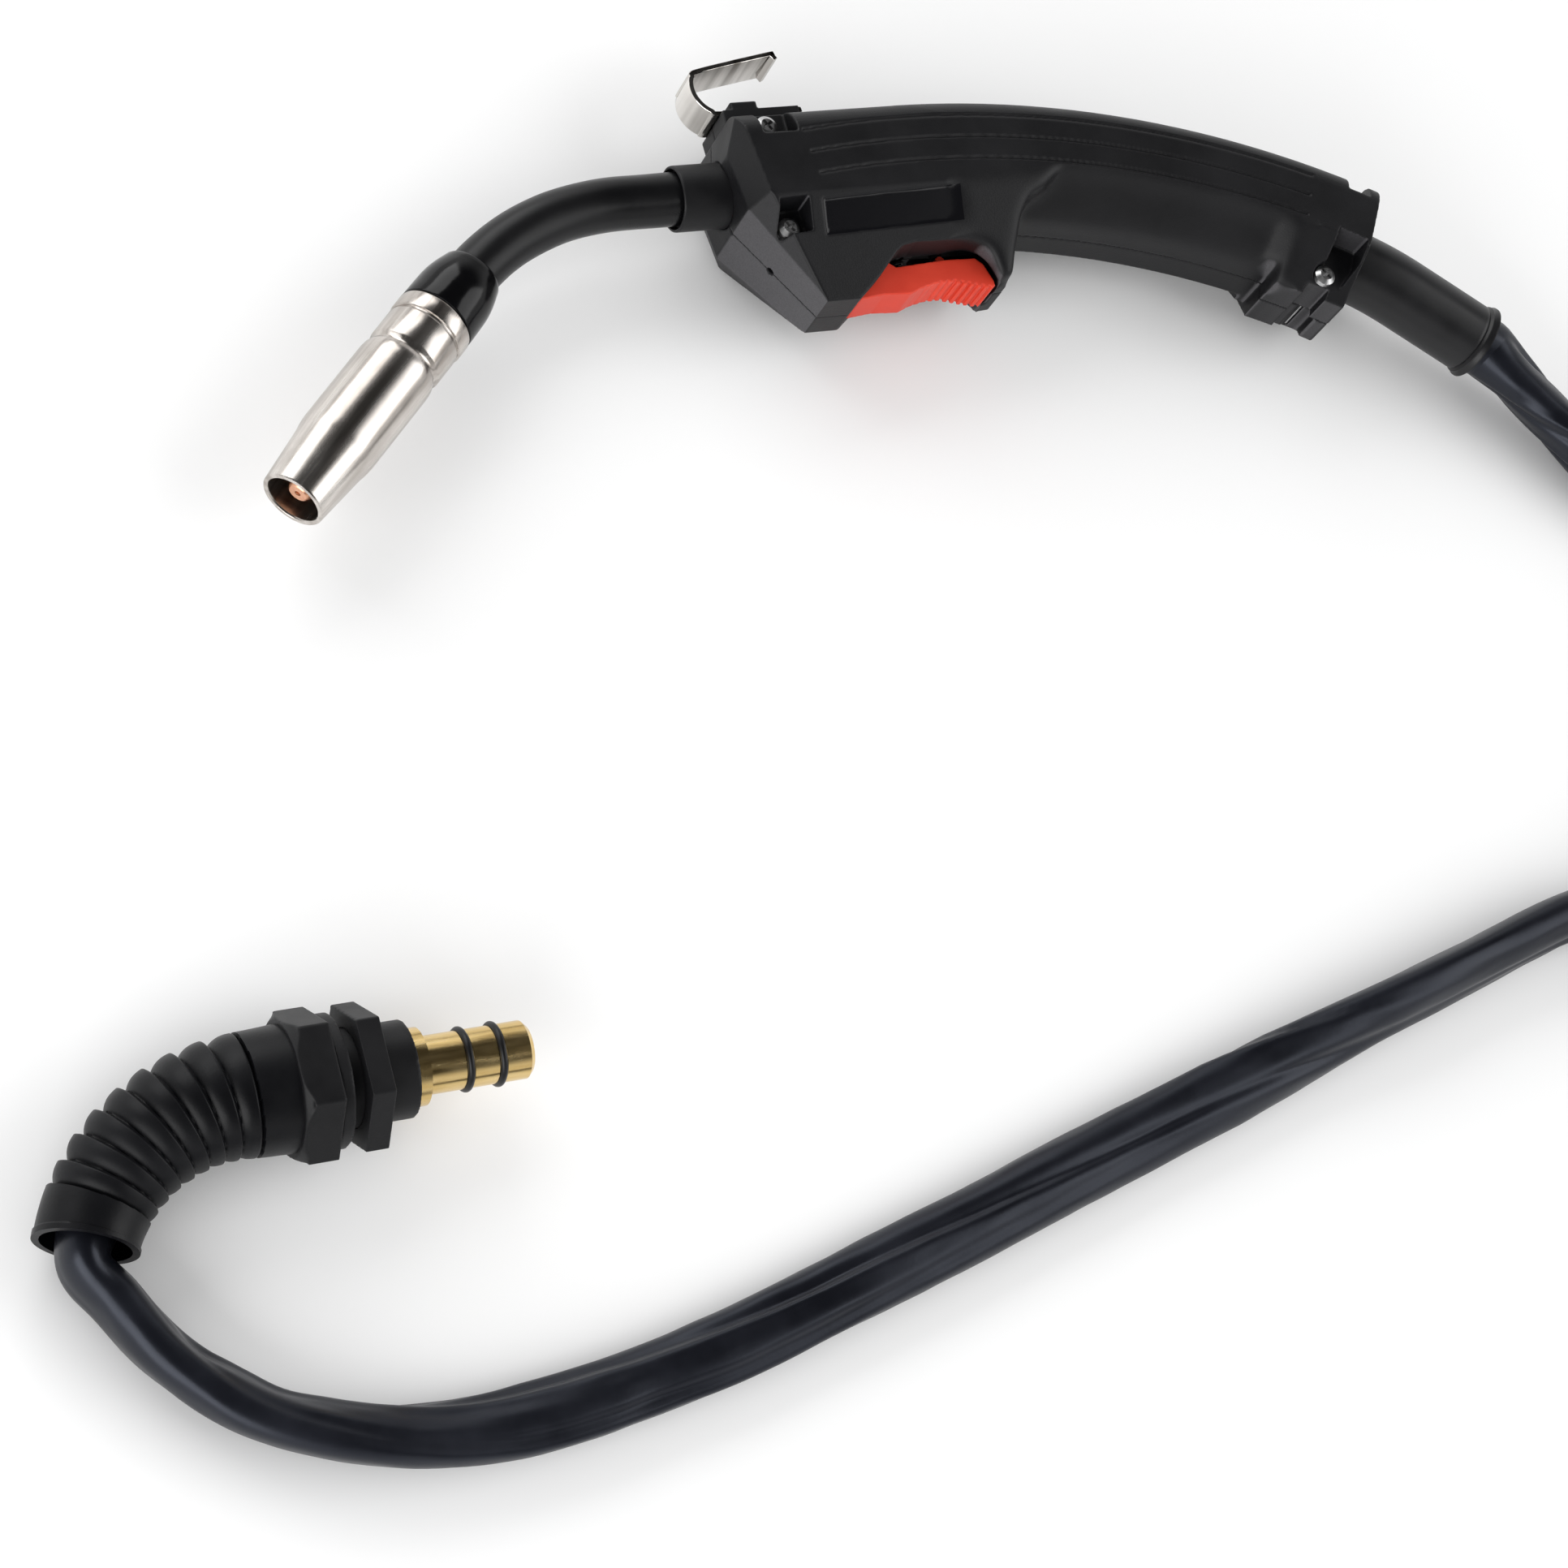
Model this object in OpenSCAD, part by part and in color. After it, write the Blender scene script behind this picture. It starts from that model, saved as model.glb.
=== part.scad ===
// MIG welding torch: gas nozzle, bent neck, curved handle with a trigger, and a
// sheathed lead that ends in the gland and brass inlet of a wire feeder.
// Lengths are in millimetres.  The torch lies on the flat side of its handle.
// Torch frame: x runs back along the neck's straight part from the collar's front
// face, y points to the hanging hook, z is across the handle from its split plane.

/* [Gas nozzle] */
// Outer diameter of the gas nozzle
nozzle_d = 18; // [17:0.5:20]
// Wall of the nozzle's straight part
nozzle_wall = 1.3; // [1:0.1:1.5]
// Length of the gas nozzle
nozzle_len = 56; // [50:1:64]
// Outer diameter at the mouth
mouth_d = 14.6; // [13.6:0.2:16]
// Length of the tapered front part
taper_len = 16; // [10:1:20]
// Depth of the band and ring grooves round the nozzle
nozzle_groove = 0.35; // [0.2:0.05:0.5]

/* [Contact tip and holder] */
// Outer diameter of the contact tip
tip_d = 6; // [5:0.5:7]
// Length of the contact tip in front of the holder
tip_len = 20; // [16:1:24]
// Bore for the wire
wire_bore = 1; // [0.8:0.1:1.4]
// Distance of the tip's end behind the nozzle's mouth
tip_recess = 2; // [1:0.5:4]
// Diameter of the tip's threaded shank
shank_d = 4.6; // [4:0.2:4.8]
// Length of the tip's threaded shank
shank_len = 5; // [4:0.5:7]
// Outer diameter of the tip holder
holder_d = 9; // [8:0.5:10]
// Diameter of the four gas holes in the holder
gas_hole_d = 1.8; // [1.2:0.2:2.4]

/* [Neck] */
// Outer diameter of the neck's insulating sleeve
sleeve_d = 12.2; // [11.6:0.2:13]
// Outer diameter of the neck tube
neck_d = 9; // [8:0.2:10]
// Bore of the neck tube
neck_bore = 6; // [5:0.2:6.6]
// Straight length of the neck in front of the collar
neck_straight = 12.2; // [8:0.2:40]
// Radius of the neck's bend
neck_bend_r = 60; // [45:1:80]
// Angle of the neck's bend
neck_angle = 43; // [20:1:60]
// Straight length between the bend and the nozzle
neck_tail = 12.9; // [12:0.1:30]
// Length of the insulator cap behind the nozzle
cap_len = 15.5; // [12:0.5:16]
// Length of the cap's spigot inside the nozzle
spigot_len = 13; // [11:0.5:16]
// Wire diameter of the spring that grips the nozzle
grip_wire = 1; // [0.8:0.1:1.2]
// Outer diameter of the wire liner
liner_d = 3.2; // [2.8:0.1:3.8]
// Bore of the wire liner
liner_bore = 1.6; // [1.2:0.1:2]

/* [Collar and cable block] */
// Outer diameter of the neck collar
collar_d = 14.9; // [14.6:0.1:16.4]
// Length of the neck collar
collar_len = 26; // [24:0.5:27]
// Outer diameter of the collar's locating flange
flange_d = 20; // [19:0.5:21]
// Width of the collar's locating flange
flange_w = 3; // [2:0.5:4]
// Size of the neck nut across its flats
neck_nut_af = 17; // [15:0.5:18]
// Length of the neck nut
neck_nut_len = 8; // [6:0.5:9]
// Diameter of the brass cable block
block_d = 15; // [13:0.5:17]
// Length of the brass cable block
block_len = 11; // [9:0.5:11.5]
// Diameter of the block's hose spigot
spigot_d = 7; // [6:0.2:7.4]
// Outer diameter of the core cable
core_d = 10; // [9:0.2:10.4]
// Outer diameter of the crimp ferrule
ferrule_d = 12; // [11.4:0.2:13]

/* [Handle] */
// Width of the handle across its flat sides
handle_w = 36; // [32:1:42]
// Height of the handle's back above the neck axis
back_h = 12.8; // [12:0.2:15]
// Radius of the back's rounded edges
edge_r = 7; // [5:0.5:8]
// Radius of the grip's curve, on the line of the core cable
grip_r = 224; // [210:1:260]
// Angle that the grip turns through
grip_angle = 30; // [29.5:0.5:33]
// Depth of the grip below the cable line
grip_depth = 14; // [13:0.5:15]
// Drop of the flat side's lower crease below the neck axis
crease_drop = 9.7; // [8:0.1:11]
// Drop of the chin below the neck axis
chin_drop = 32.1; // [32:0.1:34]
// Width of the chin
chin_w = 15.6; // [14:0.2:18]
// Width of the handle's front face
front_w = 22; // [20.5:0.5:24]
// Wall of the handle shells
shell_wall = 2.6; // [2:0.1:3]
// Width of the three grooves along the side
groove_w = 0.9; // [0.5:0.1:1.4]
// Depth of the side grooves and of the bare label field
groove_depth = 0.5; // [0.3:0.1:0.8]

/* [Screws] */
// Shank diameter of the shell screws
screw_d = 3; // [2.5:0.1:3.5]
// Head diameter of the shell screws
screw_head_d = 5; // [4.6:0.1:5.6]
// Head height of the shell screws
screw_head_h = 2; // [1.6:0.1:2.4]

/* [Hanging hook] */
// Width of the hook's steel strap
strap_w = 10; // [8:0.5:12]
// Thickness of the strap
strap_t = 1.2; // [0.8:0.1:1.5]
// Height of the strap's seat above the neck axis
seat_h = 17.4; // [16.5:0.1:18.5]

/* [Trigger and switch] */
// Width of the trigger
trigger_w = 9.5; // [8:0.1:10]
// Diameter of the trigger's pivot pin
pin_d = 3; // [2.5:0.1:3.4]
// Length of the pivot pin
pin_len = 19; // [16:0.5:20]
// Length of the microswitch
switch_len = 20; // [16:0.5:20]
// Height of the microswitch
switch_h = 10.2; // [9:0.1:10.4]
// Thickness of the microswitch
switch_t = 6.4; // [5.5:0.1:7]
// Diameter of the switch plunger
plunger_d = 3; // [2.4:0.1:3.6]
// Length that the plunger stands out of the switch
plunger_out = 2; // [1.9:0.05:2.2]
// Outer diameter of the trigger spring
spring_d = 4; // [3.4:0.1:4.6]
// Wire diameter of the trigger spring
spring_wire = 0.5; // [0.4:0.05:0.6]
// Diameter of a switch wire
wire_d = 1.6; // [1.2:0.1:1.8]

/* [Rear sleeve and lead] */
// Outer diameter of the rear sleeve
rear_sleeve_d = 17; // [16.6:0.1:18]
// Bore of the rear sleeve
rear_sleeve_bore = 14.4; // [14:0.1:14.8]
// Length of the rear sleeve outside the handle
rear_sleeve_len = 40; // [36:1:44]
// Diameter of the flange at the rear sleeve's end
rear_flange_d = 18.8; // [18.2:0.1:20]
// Outer diameter of the lead's sheath
lead_d = 15; // [14.4:0.1:15.2]
// Width of the sheath clamp
clamp_w = 5; // [3:0.5:6]
// Wall of the sheath clamp
clamp_wall = 1; // [0.8:0.1:1.5]

/* [Coil of spare lead] */
// Smallest radius of the coil's centre line
coil_r = 62; // [58:1:70]
// Step from one turn to the next, beside it and on it
coil_step = 15.6; // [15.5:0.1:16.2]
// Thickness of the ties round the coil
tie_t = 1.2; // [0.8:0.1:1.4]
// Width of the ties round the coil
tie_w = 9; // [6:0.5:14]

/* [Boot, gland and inlet] */
// Outer diameter of the boot at its open end
boot_end_d = 20.6; // [20:0.1:21.4]
// Outer diameter of the boot at the gland
boot_d = 26; // [25.6:0.1:26.8]
// Wall of the boot at its open end
boot_wall = 1.4; // [1:0.1:1.5]
// Number of ribs on the boot
boot_ribs = 8; // [5:1:11]
// Depth of the folds between the ribs
rib_depth = 1.3; // [0.8:0.1:1.6]
// Radius of the boot's bend
boot_bend_r = 37.6; // [36:0.2:40]
// Size of the gland nut across its flats
gland_af = 28; // [27:0.5:30]
// Length of the gland nut
gland_nut_len = 8; // [6:0.5:10]
// Diameter of the gland's thread
gland_thread_d = 20; // [19:0.5:22]
// Length of the gland's thread behind the nut
gland_thread_len = 15; // [12:0.5:18]
// Thickness of the panel lock nut
lock_nut_h = 5; // [3:0.5:6]
// Thickness of the panel that the gland clamps
panel_t = 3; // [1:0.5:5]
// Diameter of the brass inlet spigot
inlet_d = 12; // [10:0.5:13]
// Length of the inlet spigot beyond the gland
inlet_len = 26; // [20:1:36]
// Section diameter of the inlet seals
seal_d = 1.8; // [1.4:0.1:2.2]

/* [Clearances] */
// Radial clearance of parts that fit in each other
fit = 0.05; // [0.03:0.01:0.08]
// Radial clearance of parts that move in each other
run_gap = 0.1; // [0.05:0.01:0.1]
// Gap between faces that must not touch
side_gap = 0.3; // [0.2:0.05:0.4]

/* [Hidden] */
$fn = 48;
EPS = 0.01;
BIG = 120;
// How far a straight part laps a bend, and how much larger it is there
lap = 0.1;
seam = 0.02;
// Where the torch frame sits: its flat side is on the floor under the grip
REST_X = 90;
MID_Z = handle_w / 2;

// Nozzle, in its own frame: z from its rear face towards its mouth
nozzle_bore_d = nozzle_d - 2 * nozzle_wall;
mouth_wall = 1.15; // at the mouth's rim
mouth_bore_d = mouth_d - 2 * mouth_wall;
tip_end = nozzle_len - tip_recess;
holder_end = tip_end - tip_len;
tube_end = 3;
grip_spring_d = nozzle_bore_d - 2 * run_gap;
grip_spring_steps = 16;
cap_spigot_d = grip_spring_d * cos(180 / grip_spring_steps) - 2 * grip_wire - 2 * fit;

// Neck and cable line
bend_end = [-neck_straight - neck_bend_r * sin(neck_angle), -neck_bend_r * (1 - cos(neck_angle))];
sleeve_in = 4;
sleeve_start = collar_len - 2;
nut_start = collar_len + 2;
block_start = nut_start + neck_nut_len;
block_end = block_start + block_len;
grip_start = 53;
lead_start_angle = grip_angle - 4.6;
arc = PI / 180;
clamp_angle = clamp_w / grip_r / arc;
channel_r = max(neck_nut_af / cos(30), flange_d, block_d) / 2 + side_gap;
flange_x = collar_len - flange_w - 2;

// Handle outline in the torch frame, seen from the side
half_w = handle_w / 2;
chin_tip = [26.4, -chin_drop];
front_low = [12.1, -crease_drop];
front_mid = [10.8, 4.1];
front_top = [13.2, back_h];
chin_back = 34.6;
lobe_x = 70.6;
body_outline = [
    front_low, front_mid, front_top, [grip_start, back_h], [grip_start + 9, 8],
    [88, 0], [88, -9], [83.8, -12.5], [80.1, -13.7], [77.4, -17.6], [76.3, -21.2],
    [75.1, -24.7], [74, -30], [lobe_x, -30.4], [lobe_x, -chin_drop - 1],
    [chin_back, -chin_drop - 1], [chin_back, -chin_drop], chin_tip
];
guard_arch = [
    [chin_back, -chin_drop - 9], [chin_back, -chin_drop], [39.9, -27.9], [44.6, -23.3],
    [46.4, -22.1], [49.7, -21.6], [64, -21.8], [67, -22.9], [68.8, -25], [70.1, -28.9],
    [lobe_x, -30.6], [lobe_x, -chin_drop - 9]
];
// The side bevels run from the front face's edges back to the flat sides
bevel_back = 3.2;
grip_crease_r = grip_r - 5;
grip_low_w = 9.5;
recess_from = 7;
recess_to = grip_angle - 5.7;
block_low = grip_r - 18.4;
notch_depth = 2.1;
step_depth = 1.5;
saddle_w = strap_w + 5;
saddle_x = [14.6, 33.3];
bridge_x = [16.9, 23.4];
bridge_t = 0.7;
strap_slot = 34;
// Middle line of the hook's strap, from its end under the bridge to its free end
hook_line = [
    [34.5, -2.1], [34.3, -0.8], [33.4, 0], [15.6, 0], [13.4, 0.8], [11.5, 2.6], [10.3, 5.2],
    [10.2, 7.9], [11, 9.9], [12.9, 11.2], [30.8, 14.3], [31.9, 14.1], [32.6, 13]
];
// Bare label field on the near side's slope: its corner and its size
label_at = [27.2, -19.6];
label_size = [34.6, 7.6];

// Screws: place seen from the side, height of the head's seat, length below it
screws = [[20.9, 9.2, 12.6], [20.2, -15.4, 10.6], [151.6, -38.6, 10.4]];
screw_len = 20;
// Pocket behind the rear screw, seen from it: away from the grip's centre, and forwards
rear_pocket = [[-3.7, 1.2], [9.8, 0.8], [9.6, -6.7], [4.2, -6.7], [-4.2, -3.6]];
screw_slot = 0.7;

// Trigger, switch and their fit in the handle
pivot = [40, -23.6];
nib_x = 60;
nib_r = 1.2;
switch_x = 54;
switch_y = -18.4;
plunger_tip = switch_y - plunger_out;
nib_top = plunger_tip - run_gap;
plunger_len = plunger_out + 2.4;
spring_x = 49.5;
spring_low = -26;
spring_top = -14.5;
slot_w = trigger_w + 2 * side_gap;
slot_top = -19.6;
trigger_slot = [
    [chin_back, -60], [chin_back + 0.6, -30], [35.2, -23], [36.6, slot_top],
    [nib_x + 12, slot_top], [nib_x + 11.4, -30], [lobe_x, -60]
];
trigger_outline = [
    [36, -30.9], [42.3, -30.2], [48.9, -30.6], [52, -29.4], [56, -28.5], [60, -28.5],
    [64.6, -29.9], [69.3, -31], [70.2, -30.4], [70.2, -29], [68.9, -24.8], [67.2, -23.1],
    [59.4, -22.9], [47, -23.7], [44.2, -21.2], [41.5, -20.4], [38.2, -20.4], [36.4, -22.6]
];
rib_pitch = 1.75;
rib_from = 50.6;
rib_top = [3, 3.6, 4, 4.4, 4.45, 4.45, 4.1, 3.6, 3.05, 2.65, 2.25];
rib_count = len(rib_top);
wire_r = grip_r - core_d / 2 - side_gap - wire_d / 2;
wire_from = 4.2;

// Rear sleeve: it droops out of the handle towards the floor and the palm side
droop_angle = 10;
droop_roll = -30;
droop_r = 100;
droop_len = droop_r * droop_angle * arc;
sleeve_inside = 2.2;
sleeve_ring_d = 19.6;
straight_out = 3;
lead_in_d = rear_sleeve_bore - 2 * fit;

// Lead: route points behind the droop, in the part's own frame
coil_centre = [244, -202];
lead_r = lead_d / 2;
lead_z = lead_r + 0.3;
coil_z = lead_r + tie_t + 0.3;
layer_turns = 1.86;
coil_turns = 2 * layer_turns;
coil_from = 100;
front_route = [
    [115.2, -60, 11.7], [120.6, -67.2, 10.5], [126.4, -75.2, 9.4], [135, -88, 8.3], [145, -98, 8],
    [160, -107, 8.3], [178, -111.5, 8.8], [198, -111.5, coil_z]
];
rear_route = [
    [148, -217, 21.5], [132, -203, 15], [112, -195.5, 9.6], [88, -194, lead_z],
    [51, -203, lead_z], [16, -212, lead_z], [-18, -221, lead_z], [-56, -231, lead_z],
    [-88, -239.6, lead_z], [-116, -246.8, lead_z], [-144, -253.6, lead_z],
    [-170, -258, lead_z], [-196, -259.7, lead_z], [-220, -256.5, lead_z],
    [-241, -247.5, lead_z], [-256, -234, lead_z], [-264, -221, 8]
];

// Gland frame: on the floor, its axis along x
gland_at = [-223.5, -187, gland_af / 2 + 0.1];
boot_straight = 9.5;
boot_turn = 68;
boot_len = boot_straight + boot_bend_r * boot_turn * arc;
boot_collar = 8.5;
boot_end_z = boot_end_d / 2 + 0.1;
gland_spigot_d = 20;
gland_spigot_len = 8;
gland_bore = 11;
gland_face = gland_nut_len + 2.5;
inlet_root = 12;
inlet_start = gland_face + gland_thread_len - inlet_root;
seal_groove_d = inlet_d - seal_d;
seal_margin = 7;
seal_pitch = 7;
seal_at = [inlet_root + inlet_len - seal_margin, inlet_root + inlet_len - seal_margin - seal_pitch];

// ---- frames and helpers ----

module torch_frame() {
    translate([-REST_X, 0, MID_Z]) children();
}

module nozzle_frame() {
    torch_frame()
        translate([bend_end.x, bend_end.y, 0])
            rotate([0, 0, neck_angle]) rotate([0, -90, 0])
                translate([0, 0, neck_tail]) children();
}

// A frame whose z axis runs back along the neck axis, from the collar's front face
module axis_frame(x) {
    torch_frame() translate([x, 0, 0]) rotate([0, 90, 0]) children();
}

// A frame whose z axis points to the hook, for pieces that stand across the torch
module upright_frame(x, y) {
    torch_frame() translate([x, y, 0]) rotate([-90, 0, 0]) children();
}

// Solid of revolution about the centre of the grip's curve, in the torch frame
module grip_arc(from, to) {
    translate([grip_start, -grip_r, 0]) rotate([0, 0, 90 - to])
        rotate_extrude(angle = to - from) children();
}

// A round rod along the grip's cable line
module grip_rod(d, from, to) {
    grip_arc(from, to) translate([grip_r, 0]) circle(d = d);
}

module ring(d_out, d_in, h) {
    difference() {
        cylinder(d = d_out, h = h);
        translate([0, 0, -EPS]) cylinder(d = d_in, h = h + 2 * EPS);
    }
}

// A rod along the neck: from behind the collar round the bend to the nozzle's frame.
// Its straight parts lap the bend and are larger by a hair, so that no faces coincide.
module neck_rod(d, back, front) {
    torch_frame() translate([-neck_straight - lap, 0, 0]) rotate([0, 90, 0])
        cylinder(d = d + 2 * seam, h = back + neck_straight + lap);
    torch_frame()
        translate([-neck_straight, -neck_bend_r, 0]) rotate([0, 0, 90])
            rotate_extrude(angle = neck_angle) translate([neck_bend_r, 0]) circle(d = d);
    nozzle_frame() translate([0, 0, -neck_tail - lap])
        cylinder(d = d + 2 * seam, h = neck_tail + front + lap);
}

// Everything beyond the plane through p, q and r, on the side that their order points to
module beyond(p, q, r) {
    n = cross(q - p, r - p);
    translate(p) rotate([0, -atan2(n.z, norm([n.x, n.y])), atan2(n.y, n.x)])
        translate([0, -BIG / 2, -BIG / 2]) cube(BIG);
}

function unit(v) = v / norm(v);

// Point t (0 to 1) of the smooth curve from b to c, with a before b and d after c
function smooth(a, b, c, d, t) =
    b + (c - a) * t / 2 + (a * 2 - b * 5 + c * 4 - d) * t * t / 2
    + (b * 3 - a - c * 3 + d) * t * t * t / 2;

function refine(p, n) = [
    for (i = [0 : len(p) - 2], k = [0 : n - 1])
        smooth(p[max(i - 1, 0)], p[i], p[i + 1], p[min(i + 2, len(p) - 1)], k / n),
    p[len(p) - 1]
];

function heading(p, i) = unit(p[min(i + 1, len(p) - 1)] - p[max(i - 1, 0)]);

// Ring of points round a path point, its first point on top
function ring_points(c, t, r, n) = let (
    s = unit(cross(t, [0, 0, 1])),
    u = cross(s, t)
) [for (k = [0 : n - 1]) c + r * (cos(360 * k / n) * u - sin(360 * k / n) * s)];

// Walls between neighbouring rings, ring a below ring b in the list of points
function wall_faces(a, b, n) = [
    for (k = [0 : n - 1]) let (m = (k + 1) % n)
        for (f = [[a + k, b + k, b + m], [a + k, b + m, a + m]]) f
];

function flip(faces) = [for (f = faces) [f[2], f[1], f[0]]];

// A solid tube along a path, with its end faces square to first and last
module sweep(path, radii, n, first, last) {
    e = len(path) - 1;
    points = [
        for (i = [0 : e])
            each ring_points(path[i], i == 0 ? first : i == e ? last : heading(path, i), radii[i], n)
    ];
    caps = [
        for (k = [1 : n - 2])
            each [[0, k + 1, k], [e * n, e * n + k, e * n + k + 1]]
    ];
    walls = [for (i = [0 : e - 1]) each flip(wall_faces(i * n, (i + 1) * n, n))];
    polyhedron(points, concat(walls, caps), convexity = 10);
}

// A hose with a bore along a path
module hose(path, outer, inner, n, first, last) {
    e = len(path) - 1;
    m = (e + 1) * n;
    function at(i) = i == 0 ? first : i == e ? last : heading(path, i);
    points = [
        for (i = [0 : e]) each ring_points(path[i], at(i), outer[i], n),
        for (i = [0 : e]) each ring_points(path[i], at(i), inner[i], n)
    ];
    walls = [
        for (i = [0 : e - 1]) each flip(wall_faces(i * n, (i + 1) * n, n)),
        for (i = [0 : e - 1]) each wall_faces(m + i * n, m + (i + 1) * n, n)
    ];
    ends = concat(wall_faces(0, m, n), flip(wall_faces(e * n, m + e * n, n)));
    polyhedron(points, concat(walls, ends), convexity = 10);
}

// A wire wound round the z axis
module helix(d, wire, low, high, turns, steps, n) {
    r = (d - wire) / 2;
    count = round(turns * steps);
    rise = (high - low - wire) / count;
    path = [
        for (i = [0 : count])
            [r * cos(360 * i / steps), r * sin(360 * i / steps), low + wire / 2 + i * rise]
    ];
    sweep(path, [for (p = path) wire / 2], n, [0, 1, 0], heading(path, count));
}

// ---- front end ----

module gas_nozzle() {
    r = nozzle_d / 2;
    g = nozzle_groove;
    taper = nozzle_len - taper_len;
    color("silver") nozzle_frame() rotate_extrude()
        polygon([
            [nozzle_bore_d / 2, 0], [r - 0.2, 0], [r, 0.2], [r, 4], [r - g, 4.2],
            [r - g, 4.6], [r - g / 2, 5], [r - g, 12.6], [r - g * 1.6, 13.2],
            [r - g * 1.6, 13.8], [r - g / 2, 14.4], [r - g / 4, 15.2], [r, 17],
            [r, taper - 1.6], [r - 0.12, taper], [r - 0.45, taper + 1.6],
            [mouth_d / 2, nozzle_len - 0.2], [mouth_d / 2 - 0.2, nozzle_len],
            [mouth_bore_d / 2 + 0.2, nozzle_len], [mouth_bore_d / 2, nozzle_len - 0.3],
            [nozzle_bore_d / 2, taper]
        ]);
}

module contact_tip() {
    color("peru") nozzle_frame() difference() {
        union() {
            translate([0, 0, holder_end - shank_len]) cylinder(d = shank_d, h = shank_len);
            translate([0, 0, holder_end]) cylinder(d = tip_d, h = tip_len - 1.2);
            translate([0, 0, tip_end - 1.2]) cylinder(d1 = tip_d, d2 = tip_d - 1.7, h = 1.2);
        }
        translate([0, 0, holder_end - shank_len - EPS])
            cylinder(d = wire_bore, h = shank_len + tip_len + 2 * EPS);
        translate([0, 0, holder_end - shank_len - EPS])
            cylinder(d1 = liner_bore, d2 = wire_bore, h = 2);
    }
}

module tip_holder() {
    color("goldenrod") nozzle_frame() difference() {
        union() {
            translate([0, 0, tube_end - 9]) cylinder(d = neck_bore - 2 * fit, h = 9);
            translate([0, 0, tube_end]) cylinder(d = holder_d, h = holder_end - tube_end);
        }
        translate([0, 0, tube_end - 9 - EPS])
            cylinder(d = liner_d + 2 * side_gap, h = holder_end - tube_end + 9);
        translate([0, 0, holder_end - shank_len - 0.4])
            cylinder(d = shank_d + 2 * fit, h = shank_len + 0.4 + EPS);
        for (a = [0 : 90 : 270])
            rotate([0, 0, a + 45]) translate([0, 0, holder_end - shank_len - 4])
                rotate([0, 90, 0]) cylinder(d = gas_hole_d, h = holder_d);
    }
}

module nozzle_spring() {
    color("dimgray") nozzle_frame()
        helix(grip_spring_d, grip_wire, 0.8, spigot_len - 1.6, 4.5, grip_spring_steps, 6);
}

module insulator_cap() {
    r = nozzle_d / 2;
    color([0.07, 0.07, 0.08]) nozzle_frame() difference() {
        rotate_extrude()
            polygon([
                [0, -cap_len], [r - 2.3, -cap_len], [r - 1.6, -cap_len + 1.6],
                [r - 0.85, -cap_len + 4.2], [r - 0.4, -cap_len + 6.6], [r - 0.2, -cap_len + 9.5],
                [r - 0.1, -side_gap], [cap_spigot_d / 2, -side_gap],
                [cap_spigot_d / 2, spigot_len - 1.4],
                [cap_spigot_d / 2 + 0.5, spigot_len - 1], [cap_spigot_d / 2, spigot_len],
                [0, spigot_len]
            ]);
        translate([0, 0, -cap_len - EPS])
            cylinder(d = sleeve_d + 2 * side_gap, h = cap_len - sleeve_in + EPS);
        translate([0, 0, -cap_len]) cylinder(d = neck_d + 2 * fit, h = BIG);
        translate([0, 0, tube_end]) cylinder(d = holder_d + 2 * fit, h = BIG);
    }
}

module neck_tube() {
    color("darkgoldenrod") difference() {
        neck_rod(neck_d, block_start + 6, tube_end);
        neck_rod(neck_bore, block_start + 6 + EPS, tube_end + EPS);
    }
}

module neck_sleeve() {
    color([0.09, 0.09, 0.1]) difference() {
        neck_rod(sleeve_d, sleeve_start, -sleeve_in - side_gap);
        neck_rod(neck_d + 2 * fit, sleeve_start + EPS, 0);
    }
}

module wire_liner() {
    tip = holder_end - shank_len - 0.6;
    color("gray") difference() {
        union() {
            neck_rod(liner_d, grip_start + lap, tip);
            torch_frame() grip_rod(liner_d, 0, lead_start_angle);
        }
        neck_rod(liner_bore, grip_start + lap, tip + EPS);
        torch_frame() grip_rod(liner_bore, 0, lead_start_angle + 0.1);
    }
}

// ---- collar and cable block ----

module neck_collar() {
    color([0.12, 0.12, 0.13]) axis_frame(0) difference() {
        rotate_extrude()
            polygon([
                [0, 0], [collar_d / 2 - 0.6, 0], [collar_d / 2, 0.7],
                [collar_d / 2, flange_x], [flange_d / 2, flange_x],
                [flange_d / 2, flange_x + flange_w], [collar_d / 2, flange_x + flange_w],
                [collar_d / 2, collar_len], [0, collar_len]
            ]);
        translate([0, 0, -EPS]) cylinder(d = sleeve_d + 2 * fit, h = sleeve_start + 2 * EPS);
        translate([0, 0, -EPS]) cylinder(d = sleeve_d + 1.4, h = 2);
        cylinder(d = neck_d + 2 * side_gap, h = BIG);
        // notch for the screw that holds the collar in the shells
        translate([-screws[0].z, screws[0].y, screws[0].x]) rotate([0, 90, 0])
            cylinder(d = screw_d + 2 * side_gap, h = BIG);
    }
}

module neck_nut() {
    color("goldenrod") axis_frame(nut_start) difference() {
        cylinder(d = neck_nut_af / cos(30), h = neck_nut_len, $fn = 6);
        translate([0, 0, -EPS]) cylinder(d = neck_d + 2 * fit, h = BIG);
    }
}

module cable_block() {
    color("goldenrod") axis_frame(block_start) difference() {
        union() {
            cylinder(d = block_d, h = block_len);
            translate([0, 0, block_len]) cylinder(d = spigot_d, h = grip_start - block_end);
        }
        translate([0, 0, -EPS]) cylinder(d = neck_d + 2 * fit, h = 6 + EPS);
        cylinder(d = liner_d + 2 * side_gap, h = BIG);
    }
}

module crimp_ferrule() {
    gap = grip_start - block_end - 1;
    color("slategray") axis_frame(block_end + 0.5) ring(ferrule_d, core_d + 2 * fit, gap);
}

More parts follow.
